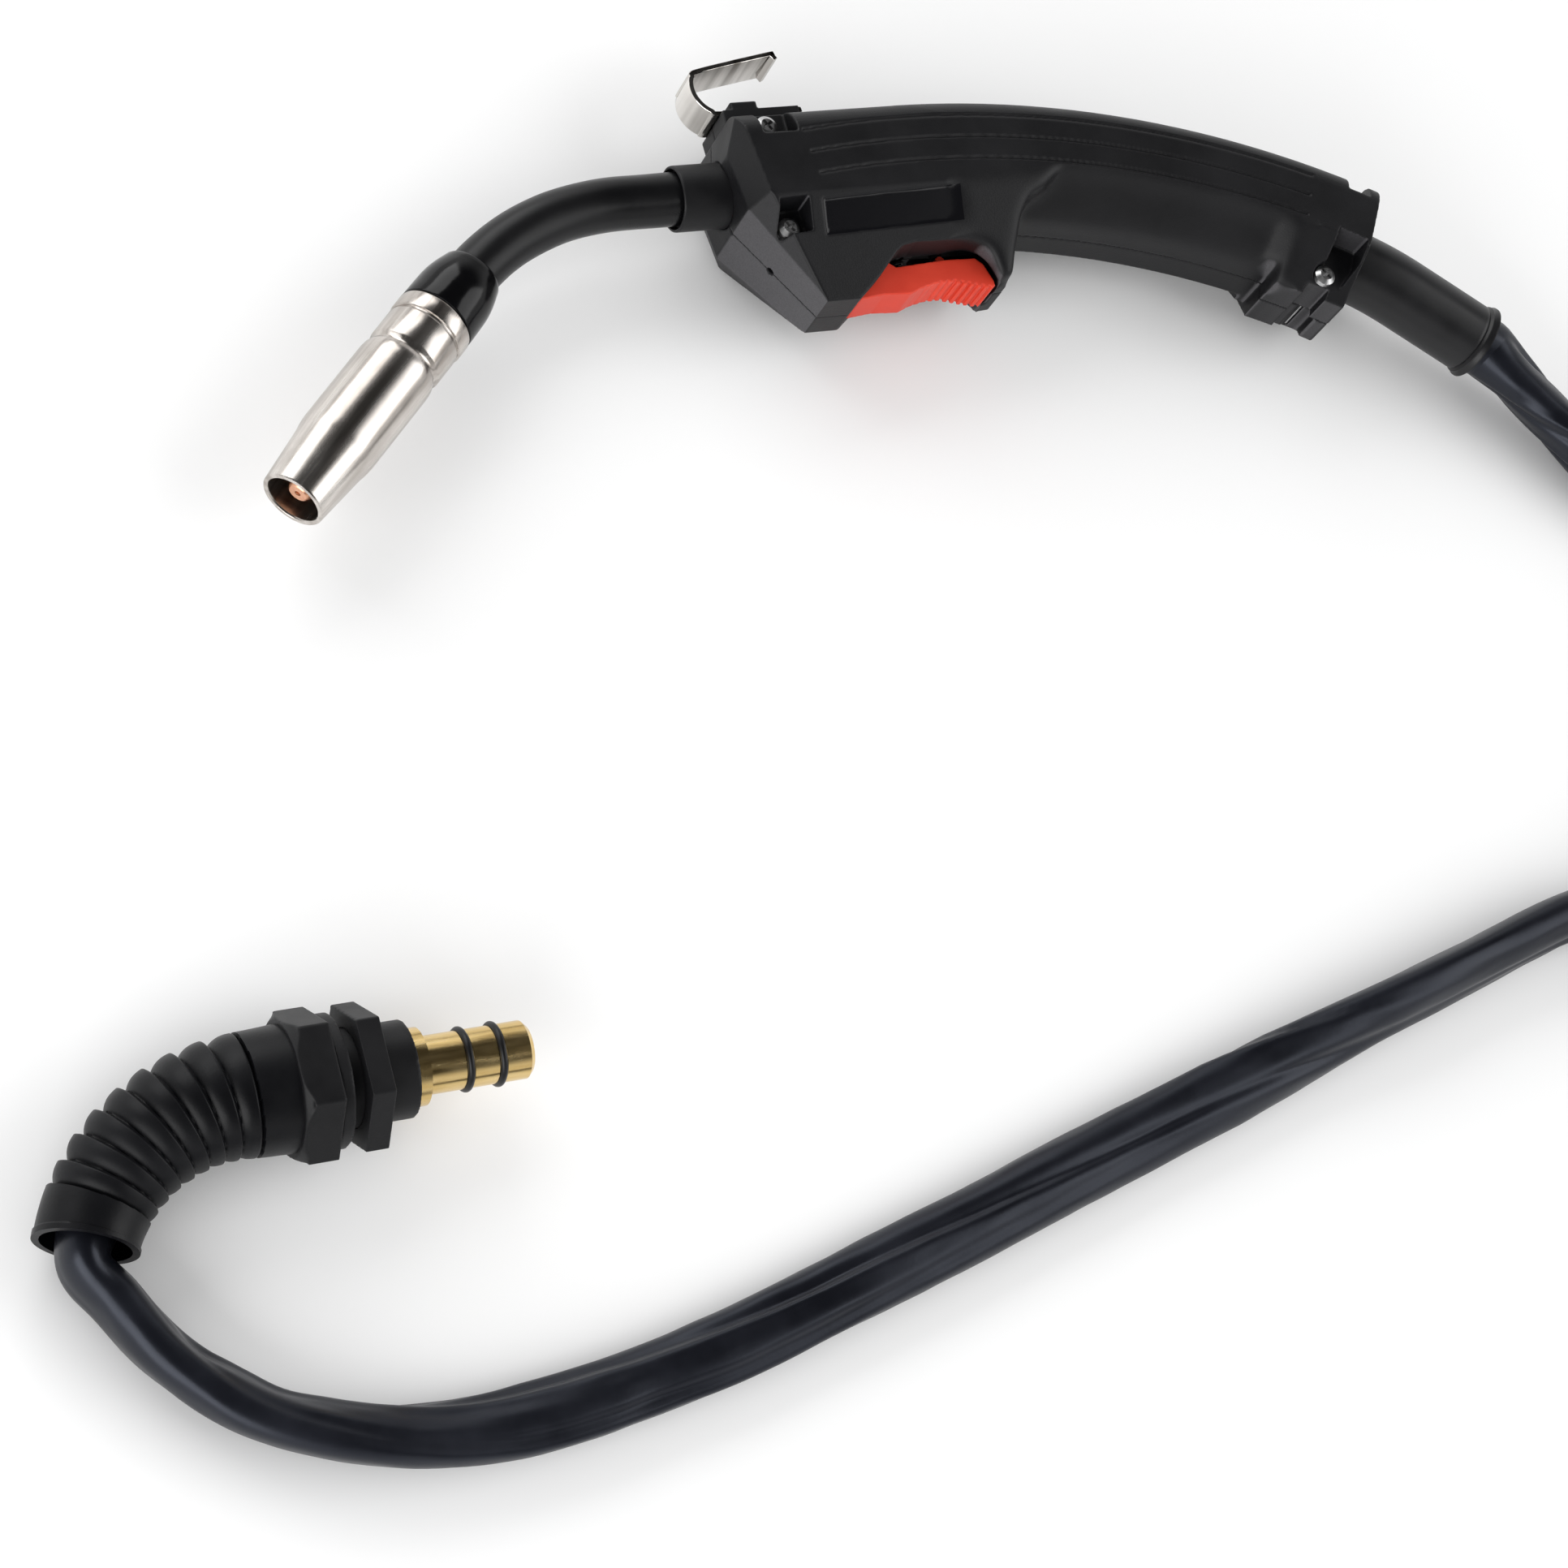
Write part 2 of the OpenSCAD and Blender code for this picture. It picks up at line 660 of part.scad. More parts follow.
module core_cable() {
    color([0.15, 0.15, 0.16]) difference() {
        union() {
            axis_frame(block_end)
                cylinder(d = core_d + 2 * seam, h = grip_start - block_end + lap);
            torch_frame() grip_rod(core_d, 0, lead_start_angle);
        }
        axis_frame(block_end - EPS)
            cylinder(d = spigot_d + 2 * fit, h = grip_start - block_end + EPS);
        torch_frame() grip_rod(liner_d + 2 * side_gap, -0.1, lead_start_angle + 0.1);
    }
}

// ---- handle ----

// Half of the body's section, seen along x: x across from the split plane, y up
module body_section(inset) {
    top = back_h - inset;
    side = half_w - inset;
    union() {
        translate([half_w - edge_r, back_h - edge_r]) circle(r = edge_r - inset);
        polygon([
            [0, top], [half_w - edge_r, top], [side, back_h - edge_r], [side, -crease_drop],
            [chin_w / 2 - inset, -chin_drop], [chin_w / 2 - inset, -chin_drop - 2],
            [0, -chin_drop - 2]
        ]);
    }
}

// Half of the grip's section, x measured from the centre of the grip's curve
module grip_section(inset) {
    top = grip_r + back_h;
    low = grip_r - grip_depth + inset;
    side = half_w - inset;
    union() {
        translate([top - edge_r, half_w - edge_r]) circle(r = edge_r - inset);
        polygon([
            [low, 0], [low, grip_low_w - inset], [grip_crease_r, side],
            [top - edge_r, side], [top - inset, half_w - edge_r], [top - inset, 0]
        ]);
    }
}

module body_half() {
    difference() {
        intersection() {
            linear_extrude(height = half_w) polygon(body_outline);
            translate([BIG, 0, 0]) rotate([0, -90, 0]) linear_extrude(height = BIG)
                body_section(seam);
        }
        front_bevels();
    }
}

// The front bevels: one in line with the front face, one that runs down the chin
module front_bevels() {
    a = [front_low.x, front_low.y, front_w / 2];
    b = [front_low.x + bevel_back, front_low.y + 0.8, half_w];
    c = [chin_tip.x, chin_tip.y, chin_w / 2];
    d = [front_mid.x, front_mid.y, front_w / 2];
    beyond(a, c, b);
    beyond(a, b, d);
}

// Lower part of the grip where the fingers close
module finger_recess() {
    low = grip_r - grip_depth;
    grip_arc(recess_from, recess_to)
        polygon([
            [grip_crease_r - 0.8, half_w], [grip_crease_r - 1.6, 15.4],
            [grip_crease_r - 3.8, 12.8], [grip_crease_r - 6.6, 10], [low - 0.1, 7],
            [low - 9, 7], [low - 9, half_w]
        ]);
}

module side_grooves() {
    for (r = [grip_r + 7, grip_r + 1.5, grip_r - 4])
        grip_arc(-6.5, grip_angle - 4.3)
            translate([r - groove_w / 2, half_w - groove_depth]) square([groove_w, 4]);
}

// Rear block under the grip's end, which stands lower than the grip
module rear_block() {
    grip_arc(grip_angle - 5, grip_angle - 0.01)
        polygon([
            [block_low, 0], [block_low, 8.4], [grip_crease_r - 1, half_w - seam],
            [grip_crease_r + 2, 12], [grip_crease_r + 2, 0]
        ]);
}

// A notch across the rear block's underside and a step across its back
module rear_notches() {
    grip_arc(grip_angle - 2.95, grip_angle - 1.4)
        translate([block_low - 2, -1]) square([2 + notch_depth, half_w + 2]);
    grip_arc(grip_angle - 2.15, grip_angle - 0.95)
        translate([grip_r + back_h - step_depth, -1]) square([BIG, half_w + 2]);
}

// Raised seat and bridge that hold the hook's strap
module hook_saddle() {
    difference() {
        union() {
            translate([saddle_x[0], 4, 0])
                cube([saddle_x[1] - saddle_x[0], seat_h - 4, saddle_w / 2]);
            translate([bridge_x[0], 4, 0])
                cube([bridge_x[1] - bridge_x[0], seat_h - 4 + strap_t + 2 * fit + bridge_t,
                    saddle_w / 2 - seam]);
        }
        translate([0, seat_h - 0.001, -EPS])
            cube([strap_slot, strap_t + 2 * fit, strap_w / 2 + fit]);
    }
}

module pockets() {
    middle = label_at.x + label_size.x / 2;
    // pocket round the middle screw
    translate([17.4, -17.9, screws[1].z]) rotate([0, 0, 2]) cube([7.2, 7.2, 20]);
    // notch round the top front screw
    translate([17.9, 5.6, screws[0].z]) cube([8.4, 20, 20]);
    // bare label field, sunk square to the slope
    intersection() {
        rotate([0, 0, 1.5]) translate(label_at) cube([label_size.x, label_size.y, BIG]);
        beyond([middle, -crease_drop, half_w - groove_depth],
            [middle, -chin_drop, chin_w / 2 - groove_depth],
            [middle + 1, -crease_drop, half_w - groove_depth]);
    }
    // pocket behind the rear screw, and the sink for its head
    translate(screws[2]) rotate([0, 0, 90 - grip_angle + 1.4])
        linear_extrude(height = 20) polygon(rear_pocket);
    translate(screws[2]) cylinder(d = screw_head_d + 2 * side_gap, h = 20);
}

module handle_cavity() {
    // neck, nut and cable block
    rotate([0, 90, 0]) cylinder(d = collar_d + 2 * fit, h = collar_len + 1);
    translate([flange_x - fit, 0, 0]) rotate([0, 90, 0])
        cylinder(d = flange_d + 2 * fit, h = flange_w + 2 * fit);
    translate([collar_len + side_gap, 0, 0]) rotate([0, 90, 0])
        cylinder(r = channel_r, h = grip_start - collar_len);
    // hollow of the grip, with two webs left across it
    for (span = [[0.2, 8], [8.6, 16.6], [17.2, lead_start_angle - 0.4]])
        grip_arc(span[0], span[1]) translate([0, -EPS]) grip_section(shell_wall);
    // core cable and its wires pass the webs
    grip_rod(core_d + 2 * side_gap, -0.01, lead_start_angle);
    grip_arc(wire_from - 0.6, lead_start_angle)
        translate([wire_r - wire_d / 2 - side_gap, -1]) square([core_d / 2, wire_d + 2]);
    // seat of the sheath clamp, the rear sleeve and its ring
    grip_rod(lead_d + 2 * clamp_wall + 2 * side_gap,
        lead_start_angle - 0.1, lead_start_angle + 2 * clamp_angle);
    grip_rod(rear_sleeve_d + 2 * fit, grip_angle - sleeve_inside - 0.2, grip_angle + 0.2);
    grip_rod(sleeve_ring_d + 2 * fit,
        grip_angle - sleeve_inside - 0.1, grip_angle - sleeve_inside + 0.5);
}

module trigger_room() {
    translate([0, 0, -1]) linear_extrude(height = slot_w / 2 + 1)
        polygon(trigger_slot);
    translate([switch_x - fit, switch_y - 1.3, -1])
        cube([switch_len + 2 * fit, switch_h + 3, switch_t / 2 + fit + 1]);
    translate([pivot.x, pivot.y, -1])
        cylinder(d = pin_d + 2 * fit, h = pin_len / 2 + side_gap + 1);
    translate([0, 0, -1]) linear_extrude(height = half_w + 2) polygon(guard_arch);
    translate([spring_x, spring_top + fit, 0]) rotate([90, 0, 0])
        cylinder(d = spring_d + 2 * side_gap, h = 6);
    translate([chin_tip.x - 7.6, chin_tip.y + 12.6, 0]) rotate([90, 0, -60])
        translate([0, 0, -2]) cylinder(d = 1.6, h = 8);
}

// One half of the handle, from the split plane up; side is 1 for the near half
module half_handle(side) {
    difference() {
        union() {
            body_half();
            difference() {
                grip_arc(0, grip_angle) grip_section(0);
                finger_recess();
            }
            rear_block();
            hook_saddle();
        }
        rear_notches();
        side_grooves();
        handle_cavity();
        trigger_room();
        if (side > 0) pockets();
        for (s = screws) translate([s.x, s.y, -1])
            cylinder(d = screw_d + 2 * fit, h = 1.4 + (side > 0 ? s.z : screw_len - s.z));
    }
}

module near_shell() {
    color([0.13, 0.13, 0.14]) torch_frame() half_handle(1);
}

module far_shell() {
    color([0.13, 0.13, 0.14]) torch_frame() mirror([0, 0, 1]) half_handle(-1);
}

module shell_screws() {
    color("silver") torch_frame() for (s = screws) translate(s) difference() {
        union() {
            translate([0, 0, -screw_len]) cylinder(d = screw_d, h = screw_len + EPS);
            cylinder(d = screw_head_d, h = screw_head_h * 0.6);
            translate([0, 0, screw_head_h * 0.6])
                cylinder(d1 = screw_head_d, d2 = screw_head_d * 0.6, h = screw_head_h * 0.4);
        }
        for (a = [30, 120]) rotate([0, 0, a])
            translate([-screw_head_d * 0.3, -screw_slot / 2, screw_head_h * 0.4])
                cube([screw_head_d * 0.6, screw_slot, screw_head_h]);
    }
}

// Outline of a strip of thickness t that follows a path in the plane
function strip(p, t) = let (
    n = len(p) - 1,
    side = [for (i = [0 : n]) let (
        a = i == 0 ? unit(p[1] - p[0]) : unit(p[i] - p[i - 1]),
        b = i == n ? a : unit(p[i + 1] - p[i]),
        m = unit([-a.y - b.y, a.x + b.x])
    ) m / (m * [-a.y, a.x])]
) concat(
    [for (i = [0 : n]) p[i] + side[i] * t / 2],
    [for (i = [n : -1 : 0]) p[i] - side[i] * t / 2]
);

module hanging_hook() {
    color("lightgray") torch_frame()
        translate([0, seat_h + fit + strap_t / 2, -strap_w / 2])
            linear_extrude(height = strap_w) polygon(strip(hook_line, strap_t));
}

// ---- trigger and switch ----

module trigger() {
    color([0.85, 0.16, 0.1]) difference() {
        torch_frame() {
            translate([0, 0, -trigger_w / 2]) linear_extrude(height = trigger_w)
                polygon(trigger_outline);
            translate([nib_x - nib_r, -23.5, -1.8]) cube([2 * nib_r, nib_top - nib_r + 23.5, 3.6]);
            translate([nib_x, nib_top - nib_r, -1.8]) cylinder(r = nib_r, h = 3.6);
        }
        torch_frame() translate([pivot.x, pivot.y, -trigger_w])
            cylinder(d = pin_d + 2 * run_gap, h = 2 * trigger_w);
        upright_frame(spring_x, spring_low - fit) cylinder(d = spring_d + 2 * side_gap, h = 6);
        torch_frame() for (i = [0 : rib_count - 1])
            translate([rib_from + i * rib_pitch, -32.4, -trigger_w]) rotate([0, 0, -12])
                cube([rib_pitch * 0.45, rib_top[i], 2 * trigger_w]);
    }
}

module trigger_pin() {
    color("lightgray") torch_frame() translate([pivot.x, pivot.y, -pin_len / 2])
        cylinder(d = pin_d, h = pin_len);
}

module trigger_spring() {
    length = spring_top - spring_low;
    color("gray") upright_frame(spring_x, spring_low)
        helix(spring_d, spring_wire, 0, length, 6.5, 10, 6);
}

module microswitch() {
    top = switch_y + switch_h;
    color([0.1, 0.1, 0.11]) difference() {
        torch_frame() {
            translate([switch_x, switch_y, -switch_t / 2]) cube([switch_len, switch_h, switch_t]);
            for (side = [-1, 1]) translate([switch_x + switch_len - 4, top - EPS, side * 1.4 - 0.5])
                cube([2, 0.4, 1]);
        }
        upright_frame(nib_x, switch_y - EPS)
            cylinder(d = plunger_d + 2 * run_gap, h = plunger_len + 0.6);
    }
}

module switch_plunger() {
    color([0.8, 0.1, 0.1]) upright_frame(nib_x, plunger_tip)
        cylinder(d = plunger_d, h = plunger_len);
}

module switch_wires() {
    color("firebrick") torch_frame() for (side = [-1, 1])
        grip_arc(wire_from, lead_start_angle)
            translate([wire_r, side * (wire_d / 2 + side_gap)]) circle(d = wire_d);
}

// ---- rear sleeve and lead ----

// Frame at the handle's rear face: z runs back along the cable, x points to the droop
module rear_frame() {
    torch_frame() translate([grip_start, -grip_r, 0]) rotate([0, 0, -grip_angle])
        translate([0, grip_r, 0]) rotate([droop_roll, 0, 0]) rotate([0, 90, 0]) children();
}

// The rear sleeve's rod: a piece in the handle, the droop, and its straight end
module sleeve_rod(d, past) {
    torch_frame() grip_rod(d, grip_angle - sleeve_inside - past, grip_angle);
    rear_frame() {
        translate([droop_r, 0, 0]) rotate([90, 0, 180]) rotate([0, 0, -past])
            rotate_extrude(angle = droop_angle + past)
                translate([droop_r, 0]) circle(d = d + 2 * seam);
        translate([droop_r, 0, 0]) rotate([0, droop_angle, 0]) translate([-droop_r, 0, -lap])
            cylinder(d = d + 4 * seam, h = rear_sleeve_len - droop_len + lap + past);
    }
}

module rear_sleeve() {
    color([0.1, 0.1, 0.11]) difference() {
        union() {
            sleeve_rod(rear_sleeve_d, 0);
            torch_frame() grip_rod(sleeve_ring_d, grip_angle - sleeve_inside + 0.02,
                grip_angle - sleeve_inside + 0.4);
            sleeve_end_frame() translate([0, 0, -1.6]) cylinder(d = rear_flange_d, h = 1.59);
        }
        sleeve_rod(rear_sleeve_bore, 0.1);
        sleeve_end_frame() translate([0, 0, -2.6]) ring(3 * rear_sleeve_d, rear_sleeve_d - 0.7, 1);
    }
}

module sleeve_end_frame() {
    rear_frame() translate([droop_r, 0, 0]) rotate([0, droop_angle, 0]) translate([-droop_r, 0, 0])
        translate([0, 0, rear_sleeve_len - droop_len]) children();
}

module sheath_clamp() {
    from = lead_start_angle + 0.4;
    color("silver") torch_frame() difference() {
        grip_rod(lead_in_d + 2 * fit + 2 * clamp_wall, from, from + clamp_angle);
        grip_rod(lead_in_d + 2 * fit, from - 0.1, from + clamp_angle + 0.1);
    }
}

// The same turns as the frames above, for the lead's own points
function turn_z(p, a) = [p.x * cos(a) - p.y * sin(a), p.x * sin(a) + p.y * cos(a), p.z];
function turn_x(p, a) = [p.x, p.y * cos(a) - p.z * sin(a), p.y * sin(a) + p.z * cos(a)];
function cable_point(a) = [
    grip_start + grip_r * sin(a) - REST_X, grip_r * cos(a) - grip_r, MID_Z
];
// Point at run s past the rear face, on the drooping line
function droop_point(s) = let (
    a = min(s / droop_len, 1) * droop_angle,
    rest = max(s - droop_len, 0),
    along = droop_r * sin(a) + rest * cos(a),
    down = droop_r * (1 - cos(a)) + rest * sin(a)
) cable_point(grip_angle) + turn_z(turn_x([along, 0, -down], droop_roll), -grip_angle);
function droop_heading(s) = unit(droop_point(s + 0.05) - droop_point(s - 0.05));

// Coil: a level spiral in, a climb where it reverses, and a spiral out on top of it
function coil_point(t) = let (
    back = abs(t - layer_turns),
    r = coil_r + coil_step * back,
    climb = min(max((t - layer_turns) * 2 + 0.5, 0), 1),
    a = coil_from - 360 * t
) [
    coil_centre.x + r * cos(a), coil_centre.y + r * sin(a),
    coil_z + coil_step * climb * climb * (3 - 2 * climb)
];
function coil_heading(t) = unit(coil_point(t + 0.002) - coil_point(t - 0.002));

module lead_front_run() {
    in_handle = [for (a = [lead_start_angle : 1.15 : grip_angle - 0.1]) cable_point(a)];
    out = rear_sleeve_len + straight_out;
    in_sleeve = [for (k = [0 : 4]) droop_point(rear_sleeve_len * k / 4)];
    held = concat(in_handle, in_sleeve, [droop_point(out)]);
    free = refine(concat([droop_point(out)], front_route, [coil_point(0)]), 2);
    path = concat(held, [for (i = [1 : len(free) - 1]) free[i]]);
    radii = [for (i = [0 : len(path) - 1]) i < len(held) ? lead_in_d / 2 - 0.3 : lead_r];
    start = unit([cos(lead_start_angle), -sin(lead_start_angle), 0]);
    color([0.11, 0.11, 0.12]) sweep(path, radii, 10, start, coil_heading(0));
}

module lead_coil() {
    steps = 24;
    count = floor(coil_turns * steps);
    path = concat([for (i = [0 : count - 1]) coil_point(i / steps)], [coil_point(coil_turns)]);
    color([0.11, 0.11, 0.12])
        sweep(path, [for (p = path) lead_r], 6, coil_heading(0), coil_heading(coil_turns));
}

module coil_ties() {
    low = coil_r - lead_r - side_gap;
    wide = coil_step * layer_turns + lead_d + 2 * side_gap;
    tall = coil_z + coil_step + lead_r + side_gap - tie_t;
    color([0.2, 0.2, 0.22]) for (a = [-75, 25])
        translate([coil_centre.x, coil_centre.y, 0]) rotate([0, 0, a])
            translate([low, tie_w / 2, 0]) rotate([90, 0, 0]) linear_extrude(height = tie_w)
                difference() {
                    translate([-tie_t, 0]) square([wide + 2 * tie_t, tall + 2 * tie_t]);
                    translate([0, tie_t]) square([wide, tall]);
                }
}

// Point at run s from the gland's face, back through the boot
function boot_point(s) = let (
    a = max(s - boot_straight, 0) / boot_bend_r / arc,
    x = min(s, boot_straight) + boot_bend_r * sin(a),
    k = min(max((s - 10) / (boot_len - 10), 0), 1)
) gland_at + [-x, -boot_bend_r * (1 - cos(a)), (boot_end_z - gland_at.z) * k * k * (3 - 2 * k)];

module lead_rear_run() {
    sag = -0.9;
    in_boot = [
        for (s = [boot_len + 2, boot_len - 10, boot_len - 22, boot_straight + 12, boot_straight + 4])
            boot_point(s) + [0, 0, s > 30 ? sag : 0]
    ];
    ends = concat([coil_point(coil_turns)], rear_route, in_boot, [boot_point(gland_spigot_len)]);
    path = refine(ends, 2);
    radii = [for (p = path) lead_r];
    color([0.11, 0.11, 0.12]) sweep(path, radii, 10, coil_heading(coil_turns), [1, 0, 0]);
}

module lead_boot() {
    ribbed = boot_len - boot_collar - 9;
    pitch = ribbed / boot_ribs;
    // run along the boot and drop of its outside there, from the gland to the open end
    stations = concat(
        [[0, 0], [boot_collar - 3, 0]],
        [for (i = [0 : boot_ribs - 1]) for (q = [[0.1, 0.6], [0.35, 0], [0.65, 0.1], [0.95, 1]])
            [boot_collar + (i + q[0]) * pitch, q[1] * rib_depth]],
        [[boot_len - 7, 0.4], [boot_len - 1.2, 0], [boot_len - 0.9, -0.5], [boot_len, -0.5]]
    );
    path = [for (s = stations) boot_point(s[0])];
    function outer(s) = boot_d / 2 + (boot_end_d - boot_d) / 2 * s / boot_len;
    radii = [for (s = stations) outer(s[0]) - s[1]];
    bores = [
        for (s = stations)
            s[0] < boot_collar + 1 ? gland_spigot_d / 2 / cos(11.25) + 0.15
            : max(outer(s[0]) - rib_depth - boot_wall, boot_end_d / 2 - boot_wall)
    ];
    color([0.09, 0.09, 0.1]) hose(path, radii, bores, 16, [-1, 0, 0], heading(path, len(path) - 1));
}

// ---- gland and inlet ----

module gland_frame(x) {
    translate(gland_at + [x, 0, 0]) rotate([0, 90, 0]) children();
}

module gland_nut() {
    color([0.1, 0.1, 0.11]) gland_frame(0) difference() {
        intersection() {
            rotate([0, 0, 30]) cylinder(d = gland_af / cos(30), h = gland_nut_len, $fn = 6);
            union() {
                cylinder(d1 = gland_af, d2 = gland_af + 3, h = 1.5);
                translate([0, 0, 1.5]) cylinder(d = gland_af / cos(30), h = BIG);
            }
        }
        translate([0, 0, -EPS]) cylinder(d = gland_spigot_d + 2 * fit, h = gland_nut_len + 2 * EPS);
    }
}

module gland_body() {
    color([0.12, 0.12, 0.13]) gland_frame(0) difference() {
        union() {
            translate([0, 0, -gland_spigot_len])
                cylinder(d = gland_spigot_d, h = gland_spigot_len + gland_nut_len);
            translate([0, 0, gland_nut_len]) cylinder(d = gland_af - 0.6, h = 2.5);
            translate([0, 0, gland_face]) cylinder(d = gland_thread_d, h = gland_thread_len);
        }
        translate([0, 0, -gland_spigot_len - EPS]) cylinder(d = gland_bore, h = BIG);
    }
}

module lock_nut() {
    color([0.14, 0.14, 0.15]) gland_frame(gland_face + panel_t) difference() {
        rotate([0, 0, 30]) cylinder(d = (gland_af - 1) / cos(30), h = lock_nut_h, $fn = 6);
        translate([0, 0, -EPS]) cylinder(d = gland_thread_d + 2 * fit, h = BIG);
    }
}

module inlet_spigot() {
    color("goldenrod") gland_frame(inlet_start) difference() {
        union() {
            cylinder(d = gland_bore - 2 * fit, h = inlet_root);
            translate([0, 0, inlet_root]) cylinder(d = 16, h = 3);
            translate([0, 0, inlet_root]) cylinder(d = inlet_d, h = inlet_len);
        }
        translate([0, 0, -EPS]) cylinder(d = liner_d + 2 * side_gap, h = BIG);
        for (z = seal_at) translate([0, 0, z - seal_d / 2])
            ring(BIG, seal_groove_d, seal_d);
        translate([0, 0, inlet_root + inlet_len - 1]) difference() {
            cylinder(d = BIG, h = 2);
            cylinder(d1 = inlet_d, d2 = inlet_d - 3, h = 1.5);
        }
    }
}

module inlet_seals() {
    color([0.15, 0.15, 0.16]) gland_frame(inlet_start) for (z = seal_at) translate([0, 0, z])
        rotate_extrude() translate([seal_groove_d / 2 + fit + seal_d / 2 - 0.1, 0])
            circle(d = seal_d - 0.2);
}

gas_nozzle();
contact_tip();
tip_holder();
nozzle_spring();
insulator_cap();
neck_tube();
neck_sleeve();
wire_liner();
neck_collar();
neck_nut();
cable_block();
crimp_ferrule();
core_cable();
near_shell();
far_shell();
shell_screws();
hanging_hook();
trigger();
trigger_pin();
trigger_spring();
microswitch();
switch_plunger();
switch_wires();
rear_sleeve();
sheath_clamp();
lead_front_run();
lead_coil();
coil_ties();
lead_rear_run();
lead_boot();
gland_nut();
gland_body();
lock_nut();
inlet_spigot();
inlet_seals();
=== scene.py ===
import math

import bmesh
import bpy
import numpy as np
from mathutils import Matrix, Vector, noise


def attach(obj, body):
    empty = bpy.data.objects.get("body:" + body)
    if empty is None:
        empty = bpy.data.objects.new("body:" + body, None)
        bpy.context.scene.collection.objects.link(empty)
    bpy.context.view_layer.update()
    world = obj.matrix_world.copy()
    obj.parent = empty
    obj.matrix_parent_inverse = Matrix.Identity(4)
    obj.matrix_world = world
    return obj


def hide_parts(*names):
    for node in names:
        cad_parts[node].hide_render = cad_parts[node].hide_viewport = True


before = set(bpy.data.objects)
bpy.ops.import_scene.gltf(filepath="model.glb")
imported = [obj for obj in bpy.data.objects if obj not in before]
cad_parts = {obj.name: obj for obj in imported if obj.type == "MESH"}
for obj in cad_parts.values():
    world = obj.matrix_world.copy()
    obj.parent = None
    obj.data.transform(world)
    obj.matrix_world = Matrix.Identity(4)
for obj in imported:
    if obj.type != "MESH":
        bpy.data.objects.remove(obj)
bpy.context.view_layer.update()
scene = bpy.context.scene
MM = 0.001


# ---- sizes shared with the solids ----
REST_X = 0.090
HALF_W = 0.018
NECK_STRAIGHT, NECK_BEND_R, NECK_ANGLE, NECK_TAIL = 0.0122, 0.060, 43, 0.0129
GRIP_START, GRIP_R, GRIP_ANGLE = 0.053, 0.224, 30
DROOP_ANGLE, DROOP_ROLL, DROOP_R = 10, -30, 0.100
DROOP_LEN = DROOP_R * math.radians(DROOP_ANGLE)
SLEEVE_LEN = 0.040
HELD_LEN = 0.043
LEAD_D = 0.015
LEAD_Z = LEAD_D / 2 + 0.0003
TIE_T = 0.0012
# the shell screw that passes the collar's flange, and the notch for it
COLLAR_SCREW = (0.0209, 0.0092)
SCREW_NOTCH_R = 0.0018
COIL_CENTRE = (0.244, -0.202)
COIL_R, COIL_STEP, LAYER_TURNS, COIL_FROM = 0.062, 0.0156, 1.86, 100
COIL_Z = LEAD_D / 2 + TIE_T + 0.0003
GLAND_AT = Vector((-0.2235, -0.187, 0.0141))
BOOT_STRAIGHT, BOOT_BEND_R, BOOT_TURN = 0.0095, 0.0376, 68
BOOT_COLLAR = 0.0085
# bore of the boot where it sits on the gland
BOOT_SEAT_R = 0.01035
BOOT_LEN = BOOT_STRAIGHT + BOOT_BEND_R * math.radians(BOOT_TURN)
BOOT_D, BOOT_END_D = 0.026, 0.0206
BOOT_END_Z = BOOT_END_D / 2 + 0.0001
# the lowest that soft pieces lie over the floor
FLOOR_LIFT = 0.0002
# grid of the finest rounded shapes, and of the pieces that need less
FINE_VOXEL, PLAIN_VOXEL, QUICK_VOXEL = 0.0003, 0.0004, 0.0008
TRIGGER_VOXEL = 0.0002
GRIP_CENTRE = Vector((GRIP_START - REST_X, -GRIP_R, 0))

FRONT_ROUTE = [
    (0.1152, -0.060, 0.0117), (0.1206, -0.0672, 0.0105), (0.1264, -0.0752, 0.0094),
    (0.135, -0.088, 0.0083), (0.145, -0.098, 0.008), (0.160, -0.107, 0.0083),
    (0.178, -0.1115, 0.0088), (0.198, -0.1115, COIL_Z),
]
REAR_ROUTE = [
    (0.148, -0.217, 0.0215), (0.132, -0.203, 0.015), (0.112, -0.1955, 0.0096),
    (0.088, -0.194, LEAD_Z), (0.051, -0.203, LEAD_Z), (0.016, -0.212, LEAD_Z),
    (-0.018, -0.221, LEAD_Z), (-0.056, -0.231, LEAD_Z), (-0.088, -0.2396, LEAD_Z),
    (-0.116, -0.2468, LEAD_Z), (-0.144, -0.2536, LEAD_Z), (-0.170, -0.258, LEAD_Z),
    (-0.196, -0.2597, LEAD_Z), (-0.220, -0.2565, LEAD_Z), (-0.241, -0.2475, LEAD_Z),
    (-0.256, -0.234, LEAD_Z), (-0.264, -0.221, 0.008),
]


# ---- camera ----
def make_camera():
    """The camera stands over the palm side of the handle and is rolled a little."""
    right = Vector((0.9063, -0.2588, 0.3341))
    up = Vector((0.1279, 0.9214, 0.3671))
    data = bpy.data.cameras.new("camera")
    data.sensor_width = 36
    data.lens = 93.17
    data.clip_end = 20
    camera = bpy.data.objects.new("camera", data)
    scene.collection.objects.link(camera)
    back = right.cross(up)
    turn = Matrix((right, up, back)).transposed().to_4x4()
    stand = (-0.4491, -0.3896, 0.7653)
    camera.matrix_world = Matrix.Translation(stand) @ turn
    scene.camera = camera


# ---- frames of the torch ----
def turn(axis, degrees):
    return Matrix.Rotation(math.radians(degrees), 4, axis)


